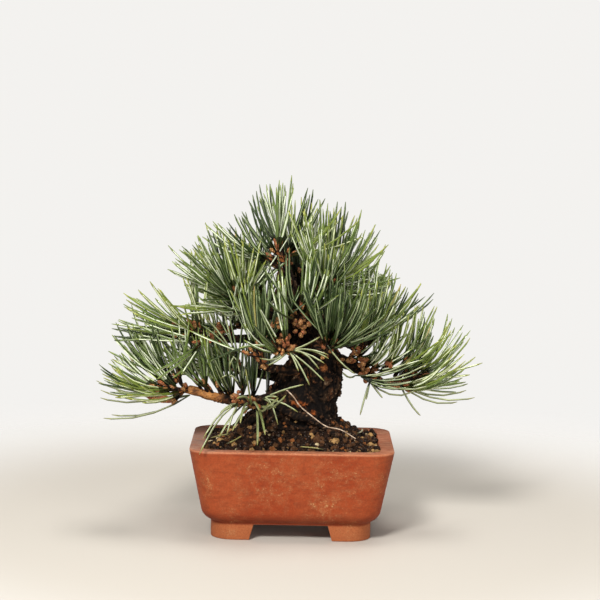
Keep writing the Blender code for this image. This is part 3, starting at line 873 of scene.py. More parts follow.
# %% Trunk mesh
TRUNK_PLATE = 0.0060
TRUNK_CRACK = 0.0021
TRUNK_SEED = 0.0
# Where old bark stands out in thick plates: x, y, z, how far that reaches and
# how high it is
THICK_PLATES = (
    ((0.0280, -0.0040, 0.0900), 0.0120, 0.0016),
    ((-0.0120, 0.0160, 0.0850), 0.0100, 0.0014),
)


def thicken(verts):
    """Push the trunk's thick plates out, most at the middle of each."""
    for vert in verts:
        for place, reach, height in THICK_PLATES:
            share = max(0.0, 1 - (vert.co - Vector(place)).length / reach)
            vert.co += vert.normal * height * math.sin(share * math.pi / 2)


def make_trunk_mesh():
    bottom, top = TRUNK_STATIONS[0][2], TRUNK_STATIONS[-1][2]
    count = int((top - bottom) / TRUNK_STEP)
    rings = [trunk_ring(bottom + (top - bottom) * step / count) for step in range(count + 1)]
    bm = new_bark()
    verts = draw_out(bm, rings)
    bmesh.ops.recalc_face_normals(bm, faces=bm.faces)
    above = [vert for vert in verts if vert.co.z > bottom]
    bm.normal_update()
    thicken(above)
    roughen(bm, above, TRUNK_PLATE, TRUNK_CRACK, TRUNK_SEED)
    return soften(mesh_from("trunk_bark", bm), BARK_SMOOTH_BELOW)


trunk_mesh = make_trunk_mesh()
print("points on the trunk", len(trunk_mesh.vertices))

# %% [markdown]
# Bark is umber on the plates and grey where it has weathered, with a few rust-coloured spots where a
# flake has just come off. Its cracks are painted almost black, as painted shade.
# The stored height picks the tone, and noise deals out the rust and the grey.

# %% Colours and spots of the bark
# Near black: painted shade in the bark's cracks, and also its small dark specks
BARK_BLACK = (0.003, 0.0015, 0.001)
BARK_UMBER = (0.040, 0.020, 0.009)
BARK_RED = (0.085, 0.030, 0.011)
BARK_GREY = (0.440, 0.300, 0.180)
BARK_RUST = (0.330, 0.110, 0.030)
BARK_ORANGE = (0.620, 0.150, 0.026)
BARK_TAN = (0.360, 0.150, 0.042)
# Where flakes have come off the trunk: x, y, z round the pot's middle, and size
RUST_SPOTS = (
    ((0.0005, -0.0180, 0.0797), 0.0036),
    ((0.0042, -0.0180, 0.0793), 0.0040),
    ((0.0080, -0.0180, 0.0788), 0.0034),
    ((0.0125, -0.0175, 0.0748), 0.0030),
    ((-0.0080, 0.0150, 0.0900), 0.0040),
)
# Where its bark is thin and shows red: x, y, z and size
RED_SPOTS = (
    ((0.0195, -0.0100, 0.1130), 0.0060),
    ((0.0185, -0.0110, 0.1010), 0.0036),
    ((0.0020, 0.0160, 0.1000), 0.0080),
)
# Where a bough's bark is still fresh and orange brown
FRESH_SPOTS = (
    ((-0.0480, -0.0080, 0.0840), 0.0080),
    ((-0.0580, -0.0080, 0.0850), 0.0080),
)
print("spots", len(RUST_SPOTS + RED_SPOTS + FRESH_SPOTS))

# %% Bark finish
# How far across the blots of each pattern are
FINE_SIZE = 0.0014
LAYER_SIZE = 0.0032
WEATHER_SIZE = 0.0055
FLAKED_SIZE = 0.0085
SPECK_SIZE = 0.0011
# Where weathered and flaked bark begins and is full in its pattern, and how far
# a full share of grey or rust widens it
WEATHERED = (0.60, 0.74)
FLAKED = (0.66, 0.74)
GREY_WIDENS = 0.2
RUST_WIDENS = 0.3


def bark_finish(name, rust, grey, spots=(), red_spots=(), fresh=BARK_ORANGE):
    """Bark with a share of rust and of grey, each from 0 to 1, and its fresh spots."""
    bark = Finish(name, specular_ior_level=0.15)
    height = bark.own("bark")
    fine = bark.noise(FINE_SIZE, detail=4.0, rough=0.7)
    plates = bark.noise(LAYER_SIZE, stretch=(1, 1, 2.6), detail=4.0, rough=0.7)
    weathered = bark.noise(WEATHER_SIZE).between(*(end - GREY_WIDENS * grey for end in WEATHERED))
    flaked = bark.noise(FLAKED_SIZE).between(*(end - RUST_WIDENS * rust for end in FLAKED))
    specks = bark.noise(SPECK_SIZE, stretch=(1, 1, 2.2), rough=0.75)
    layers = [
        # Umber on the plates, while the cracks keep the near black as painted shade
        (height.between(0.05, 0.95), 1.0, BARK_UMBER),
        (plates.between(0.52, 0.62) * height.between(0.2, 0.7), 1.0, BARK_RED),
    ]
    layers += [(bark.near(*spot) * fine.between(0.35, 0.55), 1.0, BARK_RUST) for spot in red_spots]
    layers += [
        (weathered * height.between(0.45, 1.0) * fine.between(0.40, 0.62), 1.0, BARK_GREY),
        (flaked * height.between(0.25, 0.8) * fine.between(0.35, 0.5), 1.0, BARK_RUST),
        (specks.between(0.58, 0.70) * height.between(0.3, 0.8), 0.7, BARK_GREY),
        (fine.between(0.52, 0.66), 0.7, BARK_BLACK),
    ]
    layers += [(bark.near(*spot) * plates.between(0.36, 0.46), 1.0, fresh) for spot in spots]
    bark.colour(bark.coats(BARK_BLACK, layers))
    bark.roughness(0.74 + fine * 0.22)
    bark.bump(fine + height * 0.3, distance=0.0008, strength=0.9)
    return bark


old_bark = bark_finish("old_bark", 0.02, 0.25, RUST_SPOTS, RED_SPOTS)
young_bark = bark_finish("young_bark", 0.40, 0.4, FRESH_SPOTS, fresh=BARK_TAN)
finish_piece("trunk_bark", trunk_mesh, [old_bark], ["trunk"])

# %% [markdown]
# A few roots show at the trunk's foot: a stout dark one that slants down across
# the front, others at the sides and back, and one thin pale root that has
# dried on the bark. The trunk's rings are too even to swell into single roots,
# so these are tubes along a few points, smoothed between them.

# %% Lines of the roots
# Each root: its points, and its radius at both ends
Root = namedtuple("Root", "points thick thin")
DARK_ROOTS = (
    Root(((-0.010, -0.0150, 0.0790), (0.000, -0.0192, 0.0735), (0.010, -0.0205, 0.0715),
          (0.019, -0.0215, 0.0665), (0.028, -0.0250, 0.0610)), 0.0032, 0.0016),
    Root(((-0.013, -0.010, 0.0760), (-0.024, -0.0130, 0.0690),
          (-0.033, -0.0160, 0.0630)), 0.0034, 0.0018),
    Root(((0.019, 0.008, 0.0700), (0.029, 0.0100, 0.0645),
          (0.040, 0.0130, 0.0570)), 0.0030, 0.0016),
    Root(((-0.006, 0.016, 0.0760), (-0.012, 0.0240, 0.0680),
          (-0.020, 0.0310, 0.0610)), 0.0034, 0.0018),
    Root(((0.010, 0.016, 0.0760), (0.016, 0.0250, 0.0670),
          (0.022, 0.0330, 0.0600)), 0.0030, 0.0016),
)
PALE_ROOT = Root((
    (-0.0045, -0.0165, 0.0885), (0.0005, -0.0178, 0.0838), (0.0045, -0.0190, 0.0785),
    (0.0125, -0.0220, 0.0725), (0.0205, -0.0245, 0.0675), (0.0290, -0.0275, 0.0662),
    (0.0378, -0.0320, 0.0618)), 0.00042, 0.00028)


def smooth_line(points, step):
    """Points about a step apart on a smooth line through the given ones."""
    given = [Vector(point) for point in points]
    given = [given[0] * 2 - given[1]] + given + [given[-1] * 2 - given[-2]]
    line = []
    for number in range(1, len(given) - 2):
        before, start, end, after = given[number - 1:number + 3]
        count = max(2, int((end - start).length / step))
        for part in range(count):
            share = part / count
            straight = (end - before) * share
            curved = (2 * before - 5 * start + 4 * end - after) * share ** 2
            twisted = (3 * start - before - 3 * end + after) * share ** 3
            line.append(0.5 * (2 * start + straight + curved + twisted))
    return line + [given[-2]]


print("dark roots", len(DARK_ROOTS))

# %% Surface roots
ROOT_STEP = 0.0010
ROOT_SIDES = 14
PALE_ROOT_SIDES = 8
ROOT_PLATE = 0.0026
ROOT_CRACK = 0.0007
FIRST_ROOT_SEED = 20.0
FIBRE_SIZE = 0.0016
ROOT_WOOD = (0.600, 0.470, 0.350)
ROOT_SHADE = (0.260, 0.170, 0.110)


def draw_root(bm, root, sides):
    return draw_taper(bm, smooth_line(root.points, ROOT_STEP), root.thick, root.thin, sides)


def make_root_mesh():
    bm = new_bark()
    for number, root in enumerate(DARK_ROOTS):
        verts = draw_root(bm, root, ROOT_SIDES)
        roughen_limb(bm, verts, ROOT_PLATE, ROOT_CRACK, FIRST_ROOT_SEED + number)
    return soften(mesh_from("surface_roots", bm), BARK_SMOOTH_BELOW)


def make_pale_root_mesh():
    bm = bmesh.new()
    draw_root(bm, PALE_ROOT, PALE_ROOT_SIDES)
    bmesh.ops.recalc_face_normals(bm, faces=bm.faces)
    return soften(mesh_from("pale_root", bm), BARK_SMOOTH_BELOW)


def dry_root_finish():
    dry = Finish("dry_root", specular_ior_level=0.25)
    fibre = dry.noise(FIBRE_SIZE, stretch=(3, 1, 1))
    dry.colour(dry.mix(fibre.between(0.35, 0.65), ROOT_SHADE, ROOT_WOOD))
    dry.roughness(0.7 + fibre * 0.2)
    dry.bump(fibre, distance=0.0004, strength=0.8)
    return dry


finish_piece("surface_roots", make_root_mesh(), [old_bark])
finish_piece("pale_root", make_pale_root_mesh(), [dry_root_finish()])

# %% [markdown]
# The boughs leave the trunk's middle line, bend once at the elbow and end
# where their needles begin. The table is the frame's own. Each is a tapering
# tube with a collar where it leaves the trunk, roughened by smaller plates.
# A Boolean could join them to the trunk, but they start inside it, so no seam
# shows.

# %% Table of the boughs
# Each bough: the height where it leaves the trunk's middle line, its elbow,
# its tip, and its radius at both ends
Bough = namedtuple("Bough", "leaves_at elbow tip thick thin")
BOUGHS = {
    "low_left": Bough(0.079, (-0.040, -0.006, 0.077), (-0.056, -0.008, 0.084), 0.0044, 0.0024),
    "low_front": Bough(0.083, (-0.012, -0.018, 0.086), (-0.022, -0.025, 0.082), 0.0034, 0.0022),
    "inner_left": Bough(0.097, (-0.006, -0.018, 0.100), (-0.018, -0.026, 0.103), 0.0036, 0.0022),
    "mid_left": Bough(0.111, (-0.020, -0.004, 0.119), (-0.048, -0.008, 0.116), 0.0040, 0.0023),
    "upper_left": Bough(0.126, (-0.014, -0.003, 0.131), (-0.026, -0.006, 0.134), 0.0036, 0.0022),
    "front": Bough(0.112, (0.002, -0.016, 0.114), (-0.004, -0.026, 0.113), 0.0036, 0.0023),
    "upper_front": Bough(0.125, (0.004, -0.010, 0.126), (0.004, -0.018, 0.127), 0.0030, 0.0021),
    "front_right": Bough(0.116, (0.014, -0.016, 0.112), (0.019, -0.024, 0.110), 0.0034, 0.0022),
    "mid_right": Bough(0.120, (0.026, -0.005, 0.119), (0.038, -0.008, 0.112), 0.0036, 0.0022),
    "low_right": Bough(0.107, (0.034, -0.002, 0.105), (0.054, -0.003, 0.091), 0.0052, 0.0026),
    "upper_right": Bough(0.130, (0.008, -0.003, 0.137), (0.013, -0.004, 0.144), 0.0038, 0.0023),
    "back_left": Bough(0.117, (-0.012, 0.018, 0.120), (-0.024, 0.026, 0.119), 0.0038, 0.0022),
    "back_right": Bough(0.111, (0.024, 0.016, 0.114), (0.032, 0.026, 0.113), 0.0038, 0.0022),
    "back_upper_left": Bough(0.127, (-0.007, 0.012, 0.130), (-0.016, 0.019, 0.133), 0.0032, 0.0021),
    "back_upper_right": Bough(0.121, (0.014, 0.012, 0.125), (0.022, 0.018, 0.129), 0.0032, 0.0021),
    "back_high": Bough(0.136, (0.001, 0.012, 0.140), (0.002, 0.019, 0.143), 0.0032, 0.0021),
    "back_middle": Bough(0.103, (0.008, 0.022, 0.108), (0.004, 0.036, 0.108), 0.0038, 0.0023),
    "back_low": Bough(0.091, (-0.020, 0.016, 0.092), (-0.034, 0.024, 0.093), 0.0038, 0.0022),
}
print("boughs", len(BOUGHS))

# %% Boughs
BOUGH_STEP = 0.0012
BOUGH_SIDES = 20
BOUGH_PLATE = 0.0030
BOUGH_CRACK = 0.0006
FIRST_BOUGH_SEED = 1.0
COLLAR_SWELL = 0.45
COLLAR_LENGTH = 0.25


def bough_ends(name):
    bough = BOUGHS[name]
    return trunk_middle(bough.leaves_at), Vector(bough.elbow), Vector(bough.tip)


def bough_radii(bough, count):
    """Tapering radii, swollen into a collar over the first stretch."""
    radii = []
    for step in range(count):
        share = step / (count - 1)
        collar = 1 + COLLAR_SWELL * max(0.0, 1 - share / COLLAR_LENGTH)
        radii.append((bough.thick + (bough.thin - bough.thick) * share) * collar)
    return radii


def make_bough_mesh():
    bm = new_bark()
    for number, (name, bough) in enumerate(BOUGHS.items()):
        start, elbow, tip = bough_ends(name)
        length = (elbow - start).length + (tip - elbow).length
        count = int(length / BOUGH_STEP)
        points = limb_points(start, elbow, tip, count)
        verts = draw_out(bm, limb_rings(points, bough_radii(bough, count), BOUGH_SIDES))
        roughen_limb(bm, verts, BOUGH_PLATE, BOUGH_CRACK, FIRST_BOUGH_SEED + number)
    return soften(mesh_from("bough_bark", bm), BARK_SMOOTH_BELOW)


bough_nodes = ["bough_" + name for name in BOUGHS]
finish_piece("bough_bark", make_bough_mesh(), [young_bark], bough_nodes)

# %% [markdown]
# The end of the lowest left bough is younger and swollen, and its bark is still
# smooth and orange brown. Colour alone would not show the swelling, so it is a
# sleeve round the bough, which gets thin at both ends to hide the seam.

# %% Fresh wood
# Where it starts on the bough, and where it ends
FRESH_SPAN = (0.66, (-0.0640, -0.0085, 0.0862))
FRESH_STEPS = (20, 8)
FRESH_RADIUS = 0.0027
FRESH_SWELL = 0.05
FRESH_WAVE = 0.6
# How much of the radius is left at its two ends
FRESH_ENDS = (0.5, 0.4)
FRESH_PLATE = 0.0018
FRESH_CRACK = 0.00014
FRESH_SEED = 70.0
FRESH_TONE_SIZE = 0.0030
FRESH_SKIN_SIZE = 0.0007
FRESH_ORANGE = (0.430, 0.190, 0.052)
FRESH_BROWN = (0.230, 0.085, 0.024)


def fresh_line():
    """Points along the last part of the bough, and then straight on."""
    share, end = FRESH_SPAN
    on_bough, beyond = FRESH_STEPS
    shares = [share + (1 - share) * step / on_bough for step in range(on_bough + 1)]
    line = [curve_point(*bough_ends("low_left"), share) for share in shares]
    tip = line[-1]
    return line + [tip.lerp(Vector(end), step / beyond) for step in range(1, beyond + 1)]


def make_fresh_mesh():
    """The swollen young wood at the end of the lowest left bough."""
    bm = new_bark()
    points = fresh_line()
    swelling = [FRESH_SWELL * math.sin(step * FRESH_WAVE) for step in range(len(points))]
    radii = [FRESH_RADIUS * (1 + swell) for swell in swelling]
    radii[0] *= FRESH_ENDS[0]
    radii[-1] *= FRESH_ENDS[1]
    verts = draw_out(bm, limb_rings(points, radii, BOUGH_SIDES))
    roughen_limb(bm, verts, FRESH_PLATE, FRESH_CRACK, FRESH_SEED)
    return soften(mesh_from("fresh_bark", bm), BARK_SMOOTH_BELOW)


def fresh_finish():
    """Orange-brown bark that has not yet cracked."""
    finish = Finish("fresh_bark", specular_ior_level=0.3)
    tone = finish.noise(FRESH_TONE_SIZE).between(0.35, 0.65)
    # Painted shade in the cracks
    cracks = finish.own("bark").between(0.45, 0.05)
    finish.colour(finish.coats(FRESH_ORANGE, [(tone, 1.0, FRESH_BROWN), (cracks, 0.6, BARK_BLACK)]))
    finish.roughness(0.60 + tone * 0.15)
    finish.bump(finish.noise(FRESH_SKIN_SIZE, detail=2.0), distance=0.0003, strength=0.7)
    return finish


finish_piece("fresh_bark", make_fresh_mesh(), [fresh_finish()])

# %% [markdown]
# Each mass of foliage grows by the frame's rule, written again here: a short
# stem goes on from the bough's tip, shoots leave it one golden angle apart,
# the first ones spread widest and the last one carries the stem on. The same
# seeds give the same shoots, so the needles fill the space that the frame
# keeps for them. Needles scattered in a ball would be simpler, but a crown has
# an order that the eye knows.

# %% Table of the masses
# Each mass of foliage: the way its stem leans, the stem's length, how many
# shoots leave it, how far they spread, their length, the needles' length and
# the seed of the rule. The mass "apex" grows on the trunk's tip.
Mass = namedtuple("Mass", "lean stem shoots spread shoot needle seed")
MASSES = {
    "apex": Mass((-0.42, -0.10, 0.9), 0.007, 7, 66, 0.009, 0.037, 3),
    "low_left": Mass((-1.0, -0.08, 0.10), 0.019, 7, 48, 0.009, 0.034, 5),
    "low_front": Mass((-0.2, -0.8, -0.10), 0.004, 3, 75, 0.008, 0.026, 8),
    "inner_left": Mass((-0.15, -0.15, 1.0), 0.007, 4, 48, 0.009, 0.036, 2),
    "mid_left": Mass((-1.0, -0.10, 0.30), 0.008, 6, 52, 0.009, 0.037, 4),
    "upper_left": Mass((-0.80, -0.10, 0.65), 0.009, 6, 55, 0.009, 0.036, 6),
    "front": Mass((-0.1, -0.9, 0.25), 0.005, 4, 62, 0.008, 0.032, 7),
    "upper_front": Mass((0.1, -0.5, 0.9), 0.005, 4, 50, 0.008, 0.034, 10),
    "front_right": Mass((0.25, -0.4, 0.9), 0.006, 4, 50, 0.009, 0.034, 9),
    "mid_right": Mass((0.40, -0.15, 0.85), 0.007, 5, 48, 0.009, 0.035, 11),
    "low_right": Mass((1.0, -0.05, 0.18), 0.016, 7, 48, 0.009, 0.034, 12),
    "upper_right": Mass((0.55, -0.10, 0.80), 0.007, 5, 55, 0.009, 0.036, 13),
    "back_left": Mass((-0.7, 0.65, 0.45), 0.008, 5, 58, 0.009, 0.036, 14),
    "back_right": Mass((0.65, 0.65, 0.40), 0.009, 5, 60, 0.009, 0.036, 15),
    "back_upper_left": Mass((-0.5, 0.6, 0.6), 0.006, 4, 55, 0.009, 0.035, 20),
    "back_upper_right": Mass((0.55, 0.6, 0.6), 0.006, 4, 55, 0.009, 0.035, 21),
    "back_high": Mass((0.10, 0.75, 0.65), 0.006, 4, 58, 0.009, 0.035, 16),
    "back_middle": Mass((-0.05, 1.0, 0.25), 0.007, 5, 60, 0.009, 0.034, 17),
    "back_low": Mass((-0.75, 0.55, 0.15), 0.008, 4, 55, 0.009, 0.034, 18),
}
print("masses", len(MASSES), "with", sum(mass.shoots for mass in MASSES.values()), "shoots")

# %% Ways that turn
def square_to(way, turn):
    """A way square to another one, at a turn round it."""
    return Matrix.Rotation(turn, 3, way) @ way.orthogonal().normalized()


def tilted(way, side, angle):
    """A way that is tilted by an angle towards one of its sides."""
    return way * math.cos(angle) + side * math.sin(angle)


def levelled(way, share):
    """The way itself, or with only a share of its fall where it points down."""
    if way.z < 0:
        way = Vector((way.x, way.y, way.z * share)).normalized()
    return way


print("a way halfway from up to ahead", tilted(UP, Vector((0, -1, 0)), math.pi / 4))

# %% How a mass grows
CLEARANCE = 0.0003
LIMB_STATIONS = 6
STEM_STATIONS = 4
STEM_BEND = 0.4
FIRST_SHOOT = 0.3
LEAST_FORWARD = 0.35
SHOOT_UPTURN = 0.12
SHOOT_DROOP = 0.3
SHOOT_TURN_JITTER = 0.3
SHOOT_LENGTH_JITTER = 0.15
Growth = namedtuple("Growth", "stem shoots")


def mass_root(name):
    """Where a mass's stem starts, and the way that its limb points there."""
    if name == "apex":
        tip, forward = Vector(TRUNK_STATIONS[-1][:3]), UP
    else:
        points = limb_points(*bough_ends(name), LIMB_STATIONS)
        tip = points[-1]
        forward = (points[-1] - points[-2]).normalized()
    return tip + forward * CLEARANCE, forward


def grow_mass(name):
    """The stem and the shoots of one mass."""
    mass = MASSES[name]
    dice = random.Random(mass.seed)
    start, forward = mass_root(name)
    lean = Vector(mass.lean).normalized()
    end = start + lean * mass.stem
    bend = start + forward * mass.stem * STEM_BEND
    stem = limb_points(start, bend, end, STEM_STATIONS)
    shoots = []
    for number in range(mass.shoots):
        share = (number + 1) / mass.shoots
        root = curve_point(start, bend, end, FIRST_SHOOT + (1 - FIRST_SHOOT) * share)
        turn = number * GOLDEN_ANGLE + dice.uniform(-SHOOT_TURN_JITTER, SHOOT_TURN_JITTER)
        tilt = math.radians(mass.spread) * math.sqrt(1 - share)
        way = tilted(lean, square_to(lean, turn), tilt)
        turned_back = max(0.0, LEAST_FORWARD - way.dot(forward))
        way = (way + forward * turned_back + UP * SHOOT_UPTURN).normalized()
        way = levelled(way, SHOOT_DROOP)
        length = mass.shoot * (1 + dice.uniform(-SHOOT_LENGTH_JITTER, SHOOT_LENGTH_JITTER))
        shoots.append((root, root + way * length, way))
    return Growth(stem, shoots)


growths = {name: grow_mass(name) for name in MASSES}
print("shoots", sum(len(growth.shoots) for growth in growths.values()))

# %% [markdown]
# From here the rule is carried further. Each shoot forks once more into a short twig, and the outer
# part of the longer boughs bears a few twigs of its own, as the bough of a living tree does. A few long
# twigs are given one by one where the rule alone would not reach.

# %% Twigs on the shoots
Twig = namedtuple("Twig", "start end way bundles mass")
SIDE_TWIG_PLACE = 0.45
SIDE_TWIG_TILT = math.radians(38)
SIDE_TWIG_LENGTH = 0.0055
TWIG_LENGTH_RANGE = (0.8, 1.2)
MAIN_BUNDLES = 3
SIDE_BUNDLES = 1
# The looser masses: how many bundles each shoot and each side twig bears
LOOSE_MASSES = {
    "low_front": (1, 0), "inner_left": (2, 1), "front": (1, 1), "upper_front": (1, 1),
    "front_right": (2, 1), "mid_right": (1, 1), "apex": (1, 1), "low_left": (1, 1),
    "mid_left": (1, 1), "low_right": (1, 1), "back_right": (1, 1), "back_upper_right": (2, 1),
    "back_left": (2, 1),
}


def any_step(dice):
    """A short step anywhere, where a long one is rare."""
    return Vector((dice.gauss(0, 1), dice.gauss(0, 1), dice.gauss(0, 1)))


def any_way(dice):
    """A way that is as likely to point anywhere."""
    return any_step(dice).normalized()


def fork_shoot(name, shoot, dice):
    """The shoot itself and the short twig that leaves it."""
    root, tip, way = shoot
    main_bundles, side_bundles = LOOSE_MASSES.get(name, (MAIN_BUNDLES, SIDE_BUNDLES))
    side = square_to(way, dice.uniform(0, math.tau))
    side_way = (tilted(way, side, SIDE_TWIG_TILT) + UP * SHOOT_UPTURN).normalized()
    start = root.lerp(tip, SIDE_TWIG_PLACE)
    end = start + side_way * SIDE_TWIG_LENGTH * dice.uniform(*TWIG_LENGTH_RANGE)
    return [
        Twig(root, tip, way, main_bundles, name),
        Twig(start, end, side_way, side_bundles, name),
    ]


print("looser masses", len(LOOSE_MASSES))

# %% Twigs on the boughs
# Twigs along a bough: the bough, how many twigs, the part of the bough that
# bears them, the way that they lean and the bundles on each
BOUGH_TWIGS = (
    ("low_left", 3, (0.42, 0.95), (-0.3, -0.5, 0.8), 1),
    ("low_left", 5, (0.08, 0.62), (0.0, -0.3, 1.0), 2),
    ("low_left", 3, (0.55, 1.00), (-0.5, 0.1, 0.8), 1),
    ("mid_left", 2, (0.42, 0.95), (-0.3, -0.4, 0.9), 1),
    ("low_right", 5, (0.42, 0.95), (0.5, -0.4, 0.9), 1),
    ("low_right", 4, (0.18, 0.80), (0.9, -0.6, 0.0), 1),
    ("mid_right", 2, (0.42, 0.95), (0.5, -0.4, 0.7), 2),
    ("front_right", 1, (0.42, 0.95), (0.3, -0.6, 0.7), 2),
    ("back_left", 2, (0.42, 0.95), (-0.4, 0.5, 0.7), 2),
    ("back_right", 2, (0.42, 0.95), (0.4, 0.5, 0.7), 1),
    ("back_low", 3, (0.42, 0.95), (-0.2, 0.7, 0.7), 2),
    ("back_middle", 2, (0.42, 0.95), (0.2, 0.7, 0.7), 2),
)
# Long twigs set one by one, where a mass reaches far out: the mass, both ends and the bundles. The
# first is the bare stalk of the long bud.
SET_TWIGS = (
    ("low_left", (-0.0640, -0.0090, 0.0868), (-0.0705, -0.0135, 0.0800), 0),
    ("low_left", (-0.0700, -0.0092, 0.0895), (-0.0770, -0.0110, 0.0975), 3),
    ("mid_left", (-0.0620, -0.0090, 0.1215), (-0.0705, -0.0105, 0.1252), 2),
    ("mid_left", (-0.0610, -0.0092, 0.1195), (-0.0700, -0.0120, 0.1185), 1),
    ("low_right", (0.0610, -0.0038, 0.0950), (0.0670, -0.0070, 0.1060), 2),
    ("low_right", (0.0680, -0.0040, 0.0950), (0.0750, -0.0070, 0.1010), 1),
    ("mid_right", (0.0500, -0.0030, 0.0945), (0.0572, -0.0094, 0.1035), 2),
    ("apex", (-0.0060, 0.0020, 0.1560), (-0.0160, -0.0010, 0.1640), 2),
)
BOUGH_TWIG_LENGTH = 0.0070
BOUGH_TWIG_SPREAD = 0.35
TWIG_SEED = 300


def bough_twigs(name, count, span, lean, bundles, dice):
    """Short twigs along a part of a bough."""
    low, high = span
    twigs = []
    for number in range(count):
        share = low + (high - low) * (number + 0.5) / count
        start = curve_point(*bough_ends(name), share)
        way = (Vector(lean).normalized() + any_way(dice) * BOUGH_TWIG_SPREAD).normalized()
        end = start + way * BOUGH_TWIG_LENGTH * dice.uniform(*TWIG_LENGTH_RANGE)
        twigs.append(Twig(start, end, way, bundles, name))
    return twigs


def fork_all():
    dice = random.Random(TWIG_SEED)
    twigs = []
    for name, growth in growths.items():
        for shoot in growth.shoots:
            twigs += fork_shoot(name, shoot, dice)
    for row in BOUGH_TWIGS:
        twigs += bough_twigs(*row, dice)
    for name, start, end, bundles in SET_TWIGS:
        way = (Vector(end) - Vector(start)).normalized()
        twigs.append(Twig(Vector(start), Vector(end), way, bundles, name))
    return twigs


twigs = fork_all()
print("twigs", len(twigs))

# %% [markdown]
# Real pine twigs are rough with the bases of old scales, so they get the
# bough's treatment on a smaller scale. Stems and twigs taper, and all of them
# are drawn out into one mesh.

# %% Twig mesh
TWIG_SIDES = 8
STEM_STEPS = 10
TWIG_STEPS = 6
STEM_RADIUS = 0.0021
TWIG_RADIUS = 0.0014
TWIG_TIP_RADIUS = 0.0010
TWIG_PLATE = 0.0016
TWIG_CRACK = 0.0004
TWIG_BARK_SEED = 50.0


def make_twig_mesh():
    bm = new_bark()
    for growth in growths.values():
        start, before, after, end = growth.stem
        points = limb_points(start, before.lerp(after, 0.5), end, STEM_STEPS)
        draw_taper(bm, points, STEM_RADIUS, TWIG_RADIUS, TWIG_SIDES)
    for twig in twigs:
        points = [twig.start.lerp(twig.end, step / (TWIG_STEPS - 1)) for step in range(TWIG_STEPS)]
        draw_taper(bm, points, TWIG_RADIUS, TWIG_TIP_RADIUS, TWIG_SIDES)
    roughen_limb(bm, bm.verts, TWIG_PLATE, TWIG_CRACK, TWIG_BARK_SEED)
    return soften(mesh_from("twig_bark", bm), BARK_SMOOTH_BELOW)


mass_nodes = ["mass_" + name for name in MASSES]
twig_bark = bark_finish("twig_bark", 0.70, 0.4)
finish_piece("twig_bark", make_twig_mesh(), [twig_bark], mass_nodes)

# %% [markdown]
# A pine's needles can't grow through the pot, the soil or the trunk, and this
# tree shows the sky and its buds in a few open places. Finished needles could
# be cut away there, but that would leave stumps. So each rule is a small test
# on a point, and a needle that fails one grows shorter or not at all.

# %% Where needles have room
RIM_HEADROOM = 0.0040
SEAT_HALF_WIDTH = 0.0350
SEAT_HALF_DEPTH = 0.0268
SEAT_REACH = 1.2
FLOOR_HEADROOM = 0.0360
# Open places as seen from the front: x, z, half width, half height, and how far
# back they reach. No needle crosses those that reach right through, and the
# others only keep buds or bark in view.
OPEN_PLACES = (
    (-0.0760, 0.1500, 0.0080, 0.0040, 1.0),
    (-0.0695, 0.1400, 0.0060, 0.0045, 1.0),
    (-0.0540, 0.0745, 0.0120, 0.0050, 1.0),
    (-0.0360, 0.1180, 0.0060, 0.0080, 1.0),
    (-0.0075, 0.0960, 0.0065, 0.0065, 1.0),
    (0.0380, 0.0800, 0.0075, 0.0110, 1.0),
    (-0.0045, 0.1150, 0.0065, 0.0065, -0.032),
    (0.0040, 0.1230, 0.0060, 0.0045, -0.030),
    (0.0390, 0.1045, 0.0055, 0.0060, -0.012),
    (0.0575, 0.1045, 0.0040, 0.0035, -0.012),
    (-0.0530, 0.0825, 0.0105, 0.0040, -0.012),
    (0.0864, 0.1254, 0.0028, 0.0060, 1.0),
    (0.0523, 0.1622, 0.0028, 0.0050, 1.0),
)


def above_pot(point):
    """Needles stay above the floor, and over the pot above its rim and soil."""
    over_pot = abs(point.x) < POT_WIDTH / 2 and abs(point.y) < POT_DEPTH / 2
    over_seat = math.hypot(point.x / SEAT_HALF_WIDTH, point.y / SEAT_HALF_DEPTH) < SEAT_REACH
    limit = POT_HEIGHT + RIM_HEADROOM if over_pot else FLOOR_HEADROOM
    return point.z > (GROUND_HEIGHT + RIM_HEADROOM if over_seat else limit)


def outside_trunk(point):
    if point.z > TRUNK_STATIONS[-1][2]:
        return True
    x, y, half_width = trunk_at(point.z)
    return math.hypot(point.x - x, (point.y - y) / TRUNK_DEPTH_RATIO) > half_width


def seen(point):
    """Where a point is seen from the front, on the upright plane at the pot's middle."""
    share = CAMERA_PLACE.y / (CAMERA_PLACE.y - point.y)
    return CAMERA_PLACE.lerp(point, share)


def clear_of_openings(point):
    place = seen(point)
    return all(
        point.y > depth or math.hypot((place.x - x) / half_width, (place.z - z) / half_height) > 1
        for x, z, half_width, half_height, depth in OPEN_PLACES)


print("open places", len(OPEN_PLACES))

# %% [markdown]
# Seen from the front, the crown is a lopsided dome whose two lowest tufts reach
# far out. A few places round its middle give that edge. A needle's tip may pass
# it or stay short of it by a small share, so the edge stays ragged as on the
# real tree, where nobody trims single needles.

# %% The crown's edge
CROWN_MIDDLE = (0.0, 0.110)
CROWN_EDGE = (
    (-0.049, 0.053), (-0.087, 0.069), (-0.116, 0.065), (-0.121, 0.090), (-0.113, 0.106),
    (-0.115, 0.122), (-0.105, 0.140), (-0.098, 0.149), (-0.077, 0.152), (-0.079, 0.168),
    (-0.060, 0.182), (-0.039, 0.196), (-0.007, 0.213), (0.003, 0.212), (0.018, 0.201),
    (0.044, 0.193), (0.055, 0.181), (0.060, 0.156), (0.083, 0.146), (0.103, 0.130),
    (0.105, 0.112), (0.118, 0.092), (0.109, 0.082), (0.076, 0.070), (0.041, 0.070),
)
EDGE_SLACK = (0.90, 1.05)


def turn_and_reach(x, z):
    """The turn round the crown's middle and the distance from it."""
    return math.atan2(z - CROWN_MIDDLE[1], x), math.hypot(x, z - CROWN_MIDDLE[1])


